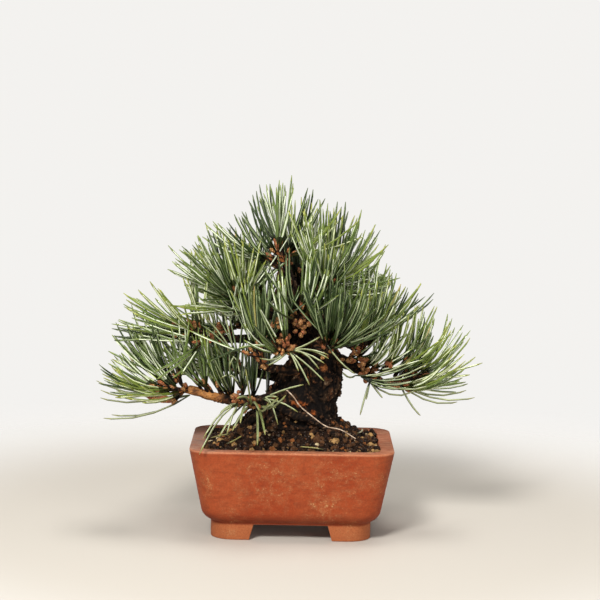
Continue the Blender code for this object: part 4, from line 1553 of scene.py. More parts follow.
edge_turns, edge_reaches = zip(*sorted(turn_and_reach(x, z) for x, z in CROWN_EDGE))


def inside_crown(point, slack):
    """Whether a needle's tip stays inside the crown's edge, give or take a share."""
    place = seen(point)
    turn, reach = turn_and_reach(place.x, place.z)
    return reach < slack * np.interp(turn, edge_turns, edge_reaches, period=math.tau)


print("the crown reaches out", round(min(edge_reaches), 3), "to", round(max(edge_reaches), 3), "m")

# %% [markdown]
# A needle leaves its bundle straight and then bends up towards the light, or
# now and then droops. One bent line per needle is enough: it is a parabola with
# a root, a way, a bend and a length. Its outer side is remembered too, because
# the pale lines lie on the other side.

# %% One needle
Needle = namedtuple("Needle", "root way bend out length radius")
NEEDLE_RADIUS = 0.00076
RADIUS_RANGE = (0.85, 1.1)
NEEDLE_DROOP = 0.45
NEEDLE_UPTURN = (0.10, 0.62)
DROOPING_PULL = -0.38
NEEDLE_WAVER = 0.06
TURNED_IN_SHARE = 0.4
ROOM_SHARES = (0.2, 0.36, 0.52, 0.68, 0.84, 1.0)


def needle_point(needle, share):
    reach = needle.length * share
    return needle.root + needle.way * reach + needle.bend * reach * share


def has_room(needle, slack):
    points = [needle_point(needle, share) for share in ROOM_SHARES]
    if not all(above_pot(point) and outside_trunk(point) for point in points):
        return False
    return all(clear_of_openings(point) for point in points) and inside_crown(points[-1], slack)


def make_needle(root, way, axis, length, upturn, drooping, dice):
    """One needle, which leaves along its way and bends up or down across it."""
    droops = dice.random() < drooping
    if not droops:
        way = levelled(way, NEEDLE_DROOP)
    waver = any_step(dice) * NEEDLE_WAVER
    pull = UP * (DROOPING_PULL if droops else dice.uniform(*NEEDLE_UPTURN) * upturn) + waver
    bend = pull - way * pull.dot(way)
    out = (way - axis * way.dot(axis)).normalized()
    if dice.random() < TURNED_IN_SHARE:
        out = -out
    return Needle(root, way, bend, out, length, NEEDLE_RADIUS * dice.uniform(*RADIUS_RANGE))


print("a needle is", 2 * MILLIMETRES * NEEDLE_RADIUS, "mm across")

# %% [markdown]
# A white pine bears its needles in bundles of five, which sit round the outer
# part of each twig, wide open at its foot and nearly closed at its tip. A
# particle system could set them, but two loops say just that, and give the same
# tree each time. The bundles on the left turn up less, and those low in front
# droop more.

# %% Bundles of five
Bundle = namedtuple("Bundle", "root way mass needles")
BUNDLE_SIZE = 5
NEEDLE_LENGTHS = (0.92, 1.30)
LENGTH_RANGE = (0.86, 1.06)
NEEDLE_TRIES = (1.0, 0.92, 0.84, 0.76)
BUNDLE_OPENING = (math.radians(42), math.radians(10))
BUNDLE_SPREAD = math.radians(9.5)
SPREAD_RANGE = (0.5, 1.5)
FIRST_BUNDLE = 0.10
BUNDLE_PLACE = 0.72
LEVEL_MASSES = {"upper_left": 0.30, "mid_left": 0.35, "low_left": 0.75}
DROOPING_SHARE = 0.01
DROOPING_MASSES = {"low_front": 0.55, "low_left": 0.0, "inner_left": 0.03, "front": 0.05}
NEEDLE_SEED = 700


def grow_bundle(root, way, length, mass, dice):
    """Five needles round one way, of which a share droops."""
    upturn = LEVEL_MASSES.get(mass, 1.0)
    drooping = DROOPING_MASSES.get(mass, DROOPING_SHARE)
    first_turn = dice.uniform(0, math.tau)
    needles = []
    for number in range(BUNDLE_SIZE):
        side = square_to(way, first_turn + math.tau * number / BUNDLE_SIZE)
        needle_way = tilted(way, side, BUNDLE_SPREAD * dice.uniform(*SPREAD_RANGE))
        start = root + side * NEEDLE_RADIUS
        reach = length * dice.uniform(*LENGTH_RANGE)
        needle = make_needle(start, needle_way, way, reach, upturn, drooping, dice)
        slack = dice.uniform(*EDGE_SLACK)
        trials = [needle._replace(length=reach * share) for share in NEEDLE_TRIES]
        needles += [trial for trial in trials if has_room(trial, slack)][:1]
    return needles


def grow_twig_bundles(twig, dice):
    """Bundles round a twig, wide open at its foot and nearly closed at its tip."""
    first_turn = dice.uniform(0, math.tau)
    bundles = []
    for number in range(twig.bundles):
        share = (number + BUNDLE_PLACE) / twig.bundles
        root = twig.start.lerp(twig.end, FIRST_BUNDLE + (1 - FIRST_BUNDLE) * share)
        opening = BUNDLE_OPENING[0] + (BUNDLE_OPENING[1] - BUNDLE_OPENING[0]) * share
        way = tilted(twig.way, square_to(twig.way, first_turn + number * GOLDEN_ANGLE), opening)
        length = MASSES[twig.mass].needle * dice.uniform(*NEEDLE_LENGTHS)
        needles = grow_bundle(root + way * TWIG_TIP_RADIUS, way, length, twig.mass, dice)
        bundles.append(Bundle(root, way, twig.mass, needles))
    return bundles


needle_dice = random.Random(NEEDLE_SEED)
bundles = [bundle for twig in twigs for bundle in grow_twig_bundles(twig, needle_dice)]
print("bundles", len(bundles), "needles", sum(len(bundle.needles) for bundle in bundles))

# %% [markdown]
# Some needles stand alone in front of the trunk, the soil or the sky, where every one of them counts
# for the tree's look: a fan under the front buds, a drooping tuft over the rim, and the long sweep of
# the lowest boughs. No rule would put them just there, so they are listed, one line per needle.

# %% Sprays laid one by one
# Each spray: the kind of needle, where its needles leave, then every needle's
# tip and how far its middle stands above the straight line
SPRAYS = (
    ("pale", (-0.0620, -0.0115, 0.0830), (
        ((-0.1180, -0.0140, 0.0910), -0.005),
        ((-0.1150, -0.0180, 0.0860), -0.005),
        ((-0.1135, -0.0150, 0.0685), -0.005),
        ((-0.1090, -0.0110, 0.0700), -0.005))),
    ("pale", (-0.0690, -0.0100, 0.0860), (
        ((-0.1160, -0.0100, 0.0800), -0.005),)),
    ("pale", (0.0190, -0.0310, 0.1185), (
        ((0.0365, -0.0300, 0.1005), -0.002),)),
    ("pale", (0.0370, -0.0200, 0.0980), (
        ((0.0695, -0.0240, 0.1080), -0.003),
        ((0.0295, -0.0110, 0.0985), -0.002))),
    ("pale", (0.0460, -0.0100, 0.0930), (
        ((0.0750, -0.0130, 0.0895), -0.006),
        ((0.0440, -0.0110, 0.0820), 0.000),
        ((0.0405, -0.0140, 0.0730), 0.001),
        ((0.0540, -0.0100, 0.0830), 0.000))),
    ("pale", (0.0640, -0.0080, 0.0920), (
        ((0.1040, -0.0120, 0.0890), -0.005),
        ((0.1090, -0.0140, 0.0850), -0.005),
        ((0.0990, -0.0100, 0.0815), -0.005),
        ((0.0770, -0.0120, 0.0730), -0.002))),
    ("deep_green", (0.0405, -0.0140, 0.0965), (
        ((0.0745, -0.0200, 0.1075), -0.003),
        ((0.0760, -0.0210, 0.1010), -0.004),
        ((0.0730, -0.0190, 0.0955), -0.004),
        ((0.0700, -0.0180, 0.0915), -0.004))),
    ("pale", (0.0470, -0.0140, 0.0945), (
        ((0.0850, -0.0180, 0.1000), -0.004),
        ((0.0860, -0.0200, 0.0945), -0.005),
        ((0.0800, -0.0190, 0.1060), -0.003))),
    ("deep_green", (-0.0330, -0.0180, 0.1060), (
        ((-0.0560, -0.0190, 0.1270), 0.002),
        ((-0.0470, -0.0200, 0.1340), 0.002),
        ((-0.0400, -0.0210, 0.1380), 0.001),
        ((-0.0300, -0.0210, 0.1390), -0.001))),
    ("pale", (-0.0350, -0.0190, 0.1080), (
        ((-0.0430, -0.0210, 0.1380), 0.001),
        ((-0.0530, -0.0200, 0.1310), 0.002))),
    ("pale", (-0.0030, -0.0330, 0.1140), (
        ((0.0200, -0.0400, 0.1130), 0.002),
        ((0.0205, -0.0390, 0.1105), 0.003),
        ((0.0180, -0.0410, 0.1080), 0.002),
        ((0.0150, -0.0410, 0.1045), 0.004),
        ((0.0180, -0.0400, 0.0975), 0.001),
        ((0.0095, -0.0410, 0.0950), 0.002),
        ((0.0030, -0.0400, 0.1030), 0.001),
        ((0.0150, -0.0400, 0.1235), -0.001),
        ((-0.0150, -0.0390, 0.1060), -0.001),
        ((-0.0200, -0.0370, 0.1100), -0.003))),
    ("pale", (-0.0305, -0.0270, 0.0900), (
        ((-0.0380, -0.0280, 0.1025), 0.012),
        ((-0.0430, -0.0300, 0.0960), 0.005))),
    ("pale", (-0.0320, -0.0330, 0.0815), (
        ((-0.0540, -0.0520, 0.0545), 0.006),
        ((-0.0520, -0.0500, 0.0635), 0.005),
        ((-0.0425, -0.0410, 0.0775), 0.002),
        ((-0.0385, -0.0420, 0.0645), 0.003))),
    ("pale", (-0.0180, -0.0330, 0.0850), (
        ((-0.0085, -0.0410, 0.0710), 0.006),
        ((0.0030, -0.0420, 0.0790), 0.002),
        ((-0.0090, -0.0380, 0.0870), 0.001),
        ((0.0060, -0.0400, 0.0950), 0.001),
        ((-0.0100, -0.0380, 0.0805), 0.001))),
)
print("sprays", len(SPRAYS))

# %% Laid needles
SPRAY_OUTER_SIDE = Vector((0.1, 1.0, -0.6))
SPRAY_RADIUS = 0.00068


def laid_needle(root, tip, lift):
    """A needle through two points, whose middle stands above or below their line."""
    line = Vector(tip) - Vector(root)
    # A parabola's middle stands a quarter of its bend off the straight line
    bend = UP * -4 * lift
    return Needle(Vector(root), line - bend, bend, SPRAY_OUTER_SIDE, 1.0, SPRAY_RADIUS)


laid_needles = [
    (kind, laid_needle(root, tip, lift)) for kind, root, tips in SPRAYS for tip, lift in tips]
print("needles laid by hand", len(laid_needles))

# %% [markdown]
# A needle's outer side is plain green. Its inner faces carry the pale lines that give the species its
# blue-grey tone, and its tip is yellower. Its foot is painted dark, as painted shade near the twig. One
# patterned material could do all that, but a pattern slips on thousands of joined needles. So each kind
# has four plain finishes with a little mottling that may lie anywhere, and whole faces take them.

# %% Needle finishes
# Each kind: its share of the bundles and the colours of the outer side, the
# pale lines and the tip
NEEDLE_KINDS = {
    "grey_green": (0.48, (0.126, 0.184, 0.042), (0.780, 0.840, 0.600), (0.185, 0.235, 0.045)),
    # The deep green kind is a darker copy of the others: painted shade
    "deep_green": (0.20, (0.020, 0.041, 0.005), (0.280, 0.345, 0.165), (0.055, 0.085, 0.012)),
    "fresh_green": (0.32, (0.183, 0.240, 0.040), (0.730, 0.780, 0.470), (0.270, 0.295, 0.048)),
    "straw": (0.0, (0.330, 0.290, 0.085), (0.560, 0.510, 0.250), (0.340, 0.260, 0.080)),
    "pale": (0.0, (0.190, 0.220, 0.070), (0.400, 0.440, 0.240), (0.290, 0.290, 0.085)),
}
# How bright a needle's foot is beside its outer side: painted shade near the twig
FOOT_SHADE = 0.25
# How dark the mottling is on each part of a needle
MOTTLING = {"outer": 0.65, "lined": 0.60, "tip": 0.70, "foot": 0.60}
MOTTLE_SIZE = 0.005


def needle_finish(name, colour, darker):
    finish = Finish(name, specular_ior_level=0.45)
    mottle = finish.noise(MOTTLE_SIZE, detail=2.0).between(0.3, 0.7)
    finish.colour(finish.mix(mottle, colour, tuple(part * darker for part in colour)))
    finish.roughness(0.28 + mottle * 0.14)
    return finish


def kind_finishes(kind):
    """The four finishes of a kind, for the outer side, the lines, the tip and the foot."""
    outer, lined, tip = NEEDLE_KINDS[kind][1:]
    foot = tuple(part * FOOT_SHADE for part in outer)
    colours = zip(MOTTLING, (outer, lined, tip, foot))
    return [needle_finish(kind + "_" + part, colour, MOTTLING[part]) for part, colour in colours]


finishes_of = {kind: kind_finishes(kind) for kind in NEEDLE_KINDS}
print("needle kinds", list(finishes_of))

# %% [markdown]
# Thousands of needles as objects would be slow, and instances are lost on
# export, so each kind is one mesh built from arrays. Every needle is the same
# small strip of points, six round and six along, put on its own bent line.

# %% Corners of the needles
NEEDLE_SHARES = (0.0, 0.20, 0.42, 0.66, 0.91, 1.0)
NEEDLE_WIDTHS = (0.72, 1.0, 1.0, 1.0, 0.85, 0.28)
# The section of a needle: the turn from its outer side in degrees, and how far
# out each corner stands
NEEDLE_SECTION = ((180, 1.00), (240, 0.56), (300, 1.00), (0, 0.82), (60, 1.00), (120, 0.56))


def needle_corners(needles):
    """The points of all needles, as an array of needle, station, corner and axis."""
    shares = np.array(NEEDLE_SHARES)[None, :, None]
    root, way, bend, out = (
        np.array([needle[part] for needle in needles])[:, None, :] for part in range(4))
    length = np.array([needle.length for needle in needles])[:, None, None]
    radius = np.array([needle.radius for needle in needles])[:, None, None]
    middle = root + (way * shares + bend * shares ** 2) * length
    forward = way + 2 * bend * shares
    forward /= np.linalg.norm(forward, axis=2, keepdims=True)
    outward = out - forward * (out * forward).sum(axis=2, keepdims=True)
    outward /= np.linalg.norm(outward, axis=2, keepdims=True)
    beside = np.cross(forward, outward)
    thick = radius * np.array(NEEDLE_WIDTHS)[None, :, None]
    corners = []
    for degrees, far in NEEDLE_SECTION:
        turn = math.radians(degrees)
        corners.append(middle + thick * far * (outward * math.cos(turn) + beside * math.sin(turn)))
    return np.stack(corners, axis=2)


print("points on a needle", len(NEEDLE_SHARES) * len(NEEDLE_SECTION))

# %% Needle strips
PALE_SIDES = (0, 5)
OUTER, LINED, TIP, FOOT = range(4)


def strip_faces(stations, sides):
    """The faces of one closed strip, and the number of its finish for each."""
    faces = [tuple(range(sides))[::-1]]
    looks = [FOOT]
    for station in range(stations - 1):
        for side in range(sides):
            corner = station * sides + side
            following = station * sides + (side + 1) % sides
            faces.append((corner, following, following + sides, corner + sides))
            if station == 0:
                looks.append(FOOT)
            elif station == stations - 2:
                looks.append(TIP)
            else:
                looks.append(LINED if side in PALE_SIDES else OUTER)
    faces.append(tuple((stations - 1) * sides + side for side in range(sides)))
    looks.append(TIP)
    return faces, looks


def copied_faces(faces, each, count):
    """The faces of a count of copies, when each copy has so many points."""
    firsts = [each * number for number in range(count)]
    return [tuple(first + corner for corner in face) for first in firsts for face in faces]


def needle_mesh(name, needles):
    corners = needle_corners(needles)
    stations, sides = corners.shape[1:3]
    faces, looks = strip_faces(stations, sides)
    all_faces = copied_faces(faces, stations * sides, len(needles))
    mesh = bpy.data.meshes.new(name)
    mesh.from_pydata(corners.reshape(-1, 3).tolist(), [], all_faces)
    mesh.polygons.foreach_set("material_index", looks * len(needles))
    mesh.shade_smooth()
    return mesh


print("faces on a needle", len(strip_faces(len(NEEDLE_SHARES), len(NEEDLE_SECTION))[0]))

# %% [markdown]
# Old needles fall on the soil and dry to straw. A simulation could drop them,
# but so few are quicker to name by their place and turn. A ray from above finds
# the soil there, so that each lies on the slope.

# %% Fallen needles
# Each fallen needle: x, y, the turn in degrees and the length
FALLEN_NEEDLES = (
    (-0.034, -0.030, 35, 0.011),
    (-0.042, -0.012, 120, 0.024),
    (0.012, -0.034, 160, 0.014),
    (0.043, 0.006, 70, 0.028),
    (-0.018, 0.033, 15, 0.026),
    (0.026, 0.031, 140, 0.022),
)
FALLEN_LIFT = 0.0040
FALLEN_BEND = 0.15
FALLEN_THICKNESS = 0.7
DROP_HEIGHT = 0.2


def surface_of(node):
    """A node's mesh as a tree for rays, round the pot's middle."""
    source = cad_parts[node].data
    points = [vert.co - POT_MIDDLE for vert in source.vertices]
    return bvhtree.BVHTree.FromPolygons(points, [face.vertices[:] for face in source.polygons])


def drop(tree, x, y):
    """Where something dropped at x and y lands, and which way that surface faces."""
    return tree.ray_cast(Vector((x, y, DROP_HEIGHT)), -UP)[:2]


def fallen_needle(x, y, degrees, length):
    turn = math.radians(degrees)
    place, normal = drop(soil_tree, x, y)
    along = Vector((math.cos(turn), math.sin(turn), 0))
    way = (along - normal * along.dot(normal)).normalized()
    root = place + UP * FALLEN_LIFT - way * length / 2
    bend = normal.cross(way) * FALLEN_BEND
    return Needle(root, way, bend, normal, length, NEEDLE_RADIUS * FALLEN_THICKNESS)


soil_tree = surface_of("soil")
fallen = [fallen_needle(*row) for row in FALLEN_NEEDLES]
print("fallen needles", len(fallen))

# %% [markdown]
# The colours are dealt out by bundle: grey green for about half, fresh green for a third, and deep
# green for the rest and for most of what lies in the crown's shade. Deep green is a darker copy of the
# needle colours, which paints that shade. The tuft low in front is pale, and here and there a single
# straw-coloured needle is about to fall. A noise pattern could tint them too, but it would change
# within a bundle, whose needles are of one age.

# %% Dealing out the needles
STRAW_SHARE = 0.008
# The masses that lie in the crown's shade, and how much of each gets deep green, as painted shade
SHADED_MASSES = {
    "front": 0.85, "upper_front": 0.85, "inner_left": 0.85, "front_right": 0.85,
    "apex": 0.30, "upper_right": 0.15, "mid_right": 0.10,
}
PALE_MASSES = ("low_front",)


def kind_of(bundle, dice):
    """The kind of one bundle, by the shares and by its mass."""
    kind = dice.choices(list(NEEDLE_KINDS), [row[0] for row in NEEDLE_KINDS.values()])[0]
    if dice.random() < SHADED_MASSES.get(bundle.mass, 0.0):
        kind = "deep_green"
    return "pale" if bundle.mass in PALE_MASSES else kind


def deal_out():
    """All needles of the tree by kind."""
    dice = random.Random(NEEDLE_SEED + 1)
    dealt = {kind: [] for kind in NEEDLE_KINDS}
    for bundle in bundles:
        kind = kind_of(bundle, dice)
        for needle in bundle.needles:
            dealt["straw" if dice.random() < STRAW_SHARE else kind].append(needle)
    for kind, needle in laid_needles:
        dealt[kind].append(needle)
    dealt["straw"] += fallen
    return dealt


for kind, needles in deal_out().items():
    mesh = needle_mesh("needles_" + kind, needles)
    finish_piece("needles_" + kind, mesh, finishes_of[kind], mass_nodes)

# %% [markdown]
# Small hard bodies are scattered over the plant: grains of soil, buds and the
# brown sheaths that hold each bundle. They are all made the same way. A few
# variants of one plain ball are knocked out of shape, and arrays put copies of
# them where they belong, turned and stretched.

# %% Scattered bodies
Body = namedtuple("Body", "place way size stretch variant")
VARIANTS = 9


def ball_points(subdivisions):
    """The points and faces of a ball of triangles with radius 1."""
    bm = bmesh.new()
    bmesh.ops.create_icosphere(bm, subdivisions=subdivisions, radius=1.0)
    points = np.array([vert.co[:] for vert in bm.verts])
    faces = [tuple(vert.index for vert in face.verts) for face in bm.faces]
    bm.free()
    return points, faces


def knocked_balls(subdivisions, knock, seed):
    """Variants of the ball with their points knocked in or out."""
    points, faces = ball_points(subdivisions)
    luck = np.random.default_rng(seed)
    shoves = [luck.uniform(-1, 1, (len(points), 1)) for variant in range(VARIANTS)]
    return [points * (1 + knock * shove) for shove in shoves], faces


def scatter_mesh(name, bodies, shapes, faces):
    """One mesh with a copy of a variant for every body."""
    points = []
    for body in bodies:
        turn = body.way.to_track_quat("Z", "Y").to_matrix()
        shape = shapes[body.variant] * np.array(body.stretch) * body.size
        points.append(shape @ np.array(turn).T + np.array(body.place))
    all_faces = copied_faces(faces, len(shapes[0]), len(bodies))
    mesh = bpy.data.meshes.new(name)
    mesh.from_pydata(np.concatenate(points).tolist(), [], all_faces)
    return mesh


print("variants", VARIANTS)

# %% [markdown]
# The soil is a loose mix of grains, each 2 to 6 mm across, heaped up towards
# the trunk. The frame's soil stays as the bed. A bump on it would look like
# sand, so real grains lie there: rays dropped from above find the surface, a
# first layer of small grains covers it, and larger ones lie loosely on top.

# %% Layers of grains
# Each layer: the spacing, the least and greatest radius, how often a place is
# filled, and how much of the space below the fill height lies under it
GRAIN_LAYERS = (
    (0.0021, 0.0010, 0.0017, 1.0, 0.0),
    (0.0030, 0.0011, 0.0022, 0.85, 0.5),
    (0.0040, 0.0011, 0.0027, 0.75, 1.0),
)
FILL_HEIGHT = 0.0540
GRAIN_STRETCH = (0.75, 1.2)
GRAIN_SINK = 0.35
# A higher power leaves fewer large grains
GRAIN_SIZE_POWER = 2
WALL_MARGIN = 0.9
TRUNK_MARGIN = CLEARANCE * 3
GRAIN_SEED = 11


def grain_bodies(tree):
    dice = random.Random(GRAIN_SEED)
    half_width = POT_WIDTH / 2 - RIM_WIDTH
    half_depth = POT_DEPTH / 2 - RIM_WIDTH
    bodies = []
    for spacing, least, most, filled, lifted in GRAIN_LAYERS:
        columns = int(2 * half_width / spacing)
        rows = int(2 * half_depth / spacing)
        for cell in range(columns * rows):
            x = -half_width + spacing * (cell % columns + dice.uniform(0, 1))
            y = -half_depth + spacing * (cell // columns + dice.uniform(0, 1))
            size = least + (most - least) * dice.random() ** GRAIN_SIZE_POWER
            stretch = tuple(dice.uniform(*GRAIN_STRETCH) for axis in range(3))
            body_way = any_way(dice)
            place, normal = drop(tree, x, y)
            margin = size * WALL_MARGIN
            inside = abs(x) < half_width - margin and abs(y) < half_depth - margin
            if dice.random() > filled or place is None or not inside:
                continue
            if not outside_trunk(place + UP * TRUNK_MARGIN):
                continue
            lift = lifted * max(0.0, FILL_HEIGHT - place.z)
            middle = place + UP * lift + normal * size * (1 - 2 * GRAIN_SINK)
            bodies.append(Body(middle, body_way, size, stretch, dice.randrange(VARIANTS)))
    return bodies


bed_grains = grain_bodies(soil_tree)
print("grains in the layers", len(bed_grains))

# %% [markdown]
# The trunk's foot isn't clean: small grains lie on its flare, where it enters
# the soil. The layers leave the trunk out, so a ring of places a little inside
# and outside the foot takes these, and each one is dropped on the trunk or on
# the soil.

# %% Grains on the trunk's foot
FOOT_GRAINS = 420
FOOT_GRAIN_REACH = (0.78, 1.16)
FOOT_GRAIN_SIZE = (0.0007, 0.0014)
FOOT_GRAIN_STRETCH = (1, 0.9, 0.8)
FOOT_GRAIN_LIFT = (0.2, 0.8)
FOOT_GRAIN_TOP = 0.0720


def foot_bodies(trunk_tree):
    dice = random.Random(GRAIN_SEED + 2)
    bodies = []
    for number in range(FOOT_GRAINS):
        edge = dice.choice(trunk_ring(GROUND_HEIGHT))
        reach = dice.uniform(*FOOT_GRAIN_REACH)
        size = dice.uniform(*FOOT_GRAIN_SIZE)
        body_way = any_way(dice)
        tree = trunk_tree if reach < 1 else soil_tree
        place, normal = drop(tree, edge.x * reach, edge.y * reach)
        if place and place.z < FOOT_GRAIN_TOP:
            middle = place + normal * size * dice.uniform(*FOOT_GRAIN_LIFT)
            variant = dice.randrange(VARIANTS)
            bodies.append(Body(middle, body_way, size, FOOT_GRAIN_STRETCH, variant))
    return bodies


foot_grains = foot_bodies(surface_of("trunk"))
print("grains on the foot", len(foot_grains))

# %% [markdown]
# Most grains are hard fired clay and dark lava, wet and nearly black, with some rust and tan ones and a
# little pale pumice. A single tone each would look painted, so a kind has a pair of tones in soft
# blots, pale painted glints of light and a gritty bump. The grains are dealt out to the kinds, and the
# bed below them gets the dark grains' finish.

# %% Grain finishes
# Each kind of grain: its share and its two colours
GRAIN_KINDS = {
    "dark": (0.66, (0.005, 0.002, 0.001), (0.022, 0.010, 0.005)),
    "brown": (0.20, (0.038, 0.015, 0.006), (0.090, 0.040, 0.016)),
    "rust": (0.05, (0.130, 0.042, 0.011), (0.240, 0.085, 0.024)),
    "tan": (0.06, (0.180, 0.095, 0.034), (0.370, 0.220, 0.085)),
    "pale": (0.02, (0.380, 0.290, 0.150), (0.560, 0.450, 0.270)),
}
# Painted glints: light reflected from the wet grains
GRAIN_GLINT = (0.300, 0.255, 0.215)
GRAIN_TONE_SIZE = 0.0035
GRIT_SIZE = 0.0007
GLINT_SIZE = 0.0012
GRAIN_KNOCK = 0.20


def stone_finish(name, darker, lighter):
    finish = Finish(name, specular_ior_level=0.12)
    tone = finish.noise(GRAIN_TONE_SIZE).between(0.35, 0.65)
    grit = finish.noise(GRIT_SIZE, detail=2.0)
    glints = finish.noise(GLINT_SIZE, detail=2.0, rough=0.7).between(0.60, 0.68)
    finish.colour(finish.coats(darker, [(tone, 1.0, lighter), (glints, 0.35, GRAIN_GLINT)]))
    finish.roughness(0.72 + grit * 0.25)
    finish.bump(grit, distance=0.0003, strength=0.7)
    return finish


def deal_grains():
    """All grains by kind."""
    dice = random.Random(GRAIN_SEED + 1)
    shares = [row[0] for row in GRAIN_KINDS.values()]
    dealt = {kind: [] for kind in GRAIN_KINDS}
    for body in bed_grains + foot_grains:
        dealt[dice.choices(list(GRAIN_KINDS), shares)[0]].append(body)
    return dealt


grain_shapes, grain_faces = knocked_balls(2, GRAIN_KNOCK, GRAIN_SEED)
for kind, bodies in deal_grains().items():
    share, darker, lighter = GRAIN_KINDS[kind]
    mesh = scatter_mesh("grains_" + kind, bodies, grain_shapes, grain_faces)
    finish_piece("grains_" + kind, mesh, [stone_finish("grain_" + kind, darker, lighter)])
soil_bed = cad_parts["soil"]
soil_bed.data.materials.clear()
soil_bed.data.materials.append(stone_finish("soil_bed", *GRAIN_KINDS["dark"][1:]).material)
print("the bed is", soil_bed.name)

# %% [markdown]
# White pines carry fat, scaly buds: one ends every twig, and round clusters of
# them sit where this year's growth begins. Scales modelled one by one would be
# too fine to see, so buds are scattered bodies too, drawn out along the way that
# they point. The clusters that show most from the front are named by their
# place, and the others follow from the masses.

# %% Clusters of buds
BUD_SIZE = 0.0011
BUD_SIZE_RANGE = (0.8, 1.2)
BUD_STRETCH = 2.2
BUD_SEAT = 0.6
BUD_SEED = 31
CLUSTER_SIZE = 0.00135
CLUSTER_SIZE_RANGE = (0.7, 1.2)
CLUSTER_RADIUS = 0.0048
CLUSTER_HEAP = (0.45, 1.0)
CLUSTER_STRETCH = (1, 1, 1.25)
CLUSTER_ON_STEM = 0.4
# How many buds stand at each mass's root
CLUSTERS = {
    "front": 9, "front_right": 6, "mid_right": 5, "low_right": 5, "upper_front": 8,
    "low_front": 7, "low_left": 5, "mid_left": 6, "upper_left": 7, "inner_left": 7,
    "apex": 6, "upper_right": 5, "back_left": 6, "back_right": 6, "back_middle": 7,
    "back_high": 5, "back_low": 5, "back_upper_left": 4, "back_upper_right": 4,
}


def cluster_bodies(middle, count, reach, dice):
    """Round buds heaped about a place."""
    bodies = []
    for number in range(count):
        way = any_way(dice)
        size = CLUSTER_SIZE * dice.uniform(*CLUSTER_SIZE_RANGE)
        place = middle + way * reach * dice.uniform(*CLUSTER_HEAP)
        bodies.append(Body(place, way, size, CLUSTER_STRETCH, dice.randrange(VARIANTS)))
    return bodies


print("buds in the masses' clusters", sum(CLUSTERS.values()))

# %% Buds
# Long buds at the lowest boughs: x, y, z, the way that each points and its
# radius and length
LONG_BUDS = (
    (-0.0785, -0.0140, 0.0806, (-1.0, -0.05, 0.12), 0.0023, 0.0175),
    (0.0620, -0.0065, 0.0895, (1.0, -0.2, 0.25), 0.0016, 0.0080),
    (0.0690, -0.0060, 0.0905, (0.9, -0.3, 0.20), 0.0015, 0.0070),
)
# Larger clusters on the boughs: x, y, z, how many buds and how far they reach
LARGE_CLUSTERS = (
    (-0.0050, -0.0320, 0.1165, 20, 0.0070),
    (0.0030, -0.0290, 0.1265, 12, 0.0052),
    (-0.0110, -0.0290, 0.1290, 9, 0.0048),
    (0.0375, -0.0120, 0.1065, 15, 0.0062),
    (0.0425, -0.0100, 0.0975, 8, 0.0046),
    (0.0575, -0.0100, 0.1045, 5, 0.0022),
    (-0.0335, -0.0180, 0.0840, 7, 0.0046),
    (-0.0430, -0.0140, 0.1240, 9, 0.0046),
    (0.0020, 0.0330, 0.1150, 12, 0.0058),
    (-0.0260, 0.0300, 0.1050, 9, 0.0052),
    (0.0270, 0.0280, 0.1080, 9, 0.0052),
)


def bud_bodies():
    """A bud on each twig's end, the clusters and the long buds."""
    dice = random.Random(BUD_SEED)
    bodies = []
    for twig in twigs:
        size = BUD_SIZE * dice.uniform(*BUD_SIZE_RANGE)
        place = twig.end + twig.way * size * BUD_STRETCH * BUD_SEAT
        bodies.append(Body(place, twig.way, size, (1, 1, BUD_STRETCH), dice.randrange(VARIANTS)))
    for name, count in CLUSTERS.items():
        start = mass_root(name)[0]
        lean = Vector(MASSES[name].lean).normalized()
        middle = start + lean * MASSES[name].stem * CLUSTER_ON_STEM
        bodies += cluster_bodies(middle, count, CLUSTER_RADIUS, dice)
    for x, y, z, count, reach in LARGE_CLUSTERS:
        bodies += cluster_bodies(Vector((x, y, z)), count, reach, dice)
    for x, y, z, way, radius, length in LONG_BUDS:
        stretch = (1, 1, length / radius / 2)
        bodies.append(Body(Vector((x, y, z)), Vector(way), radius, stretch, 0))
    return bodies


buds = bud_bodies()
print("buds", len(buds))

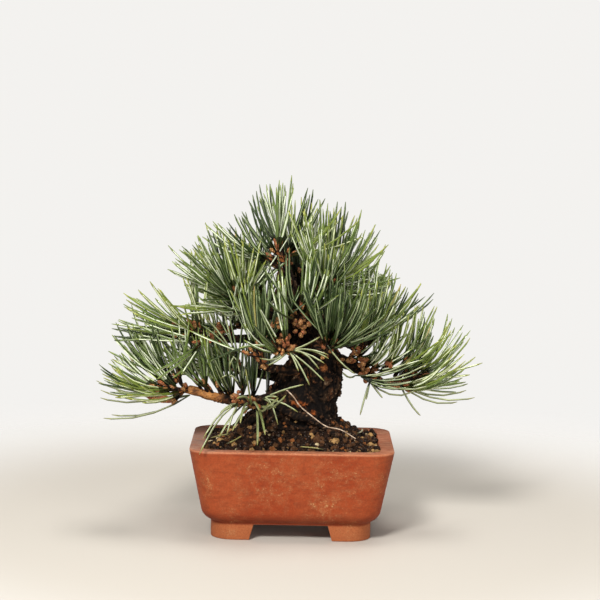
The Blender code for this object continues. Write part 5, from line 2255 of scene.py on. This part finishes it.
# %% [markdown]
# Each bundle of needles stands in a short brown sheath, which hides the place
# where the five needles meet. It could be wrapped in scales, but at this size
# one drawn-out body at the bundle's root looks the same.

# %% Sheaths
SHEATH_SIZE = 0.00095
SHEATH_STRETCH = (1, 1, 1.9)


def sheath_bodies():
    dice = random.Random(BUD_SEED + 1)
    bodies = []
    for bundle in bundles:
        if bundle.needles:
            place = bundle.root + bundle.way * SHEATH_SIZE * SHEATH_STRETCH[2]
            variant = dice.randrange(VARIANTS)
            bodies.append(Body(place, bundle.way, SHEATH_SIZE, SHEATH_STRETCH, variant))
    return bodies


sheaths = sheath_bodies()
print("sheaths", len(sheaths))

# %% [markdown]
# Buds and sheaths are covered with small papery scales that are dark at their
# edges. A cell pattern draws the scales, which are too many to model, and soft
# blots turn some of them from ochre to red brown.

# %% Scale finish
BUD_COLOURS = (0.120, 0.036, 0.012), (0.680, 0.370, 0.120), (0.480, 0.150, 0.048)
SHEATH_COLOURS = (0.085, 0.050, 0.022), (0.240, 0.150, 0.060), (0.200, 0.090, 0.036)
BUD_KNOCK = 0.13
SHEATH_KNOCK = 0.08
SCALE_SIZE = 0.0011
SCALE_TONE_SIZE = 0.0042


def scale_finish(name, darker, lighter, redder):
    finish = Finish(name, specular_ior_level=0.4)
    scales = finish.cells(SCALE_SIZE).between(0.10, 0.55)
    tone = finish.noise(SCALE_TONE_SIZE, detail=1.0).between(0.42, 0.58)
    finish.colour(finish.coats(lighter, [(tone, 1.0, redder), (scales, 0.8, darker)]))
    finish.roughness(0.42 + tone * 0.2)
    finish.bump(scales, distance=0.0004, strength=0.9)
    return finish


bud_mesh = scatter_mesh("buds", buds, *knocked_balls(2, BUD_KNOCK, BUD_SEED))
finish_piece("buds", bud_mesh, [scale_finish("bud", *BUD_COLOURS)])
sheath_mesh = scatter_mesh("sheaths", sheaths, *knocked_balls(1, SHEATH_KNOCK, BUD_SEED + 2))
finish_piece("sheaths", sheath_mesh, [scale_finish("sheath", *SHEATH_COLOURS)])
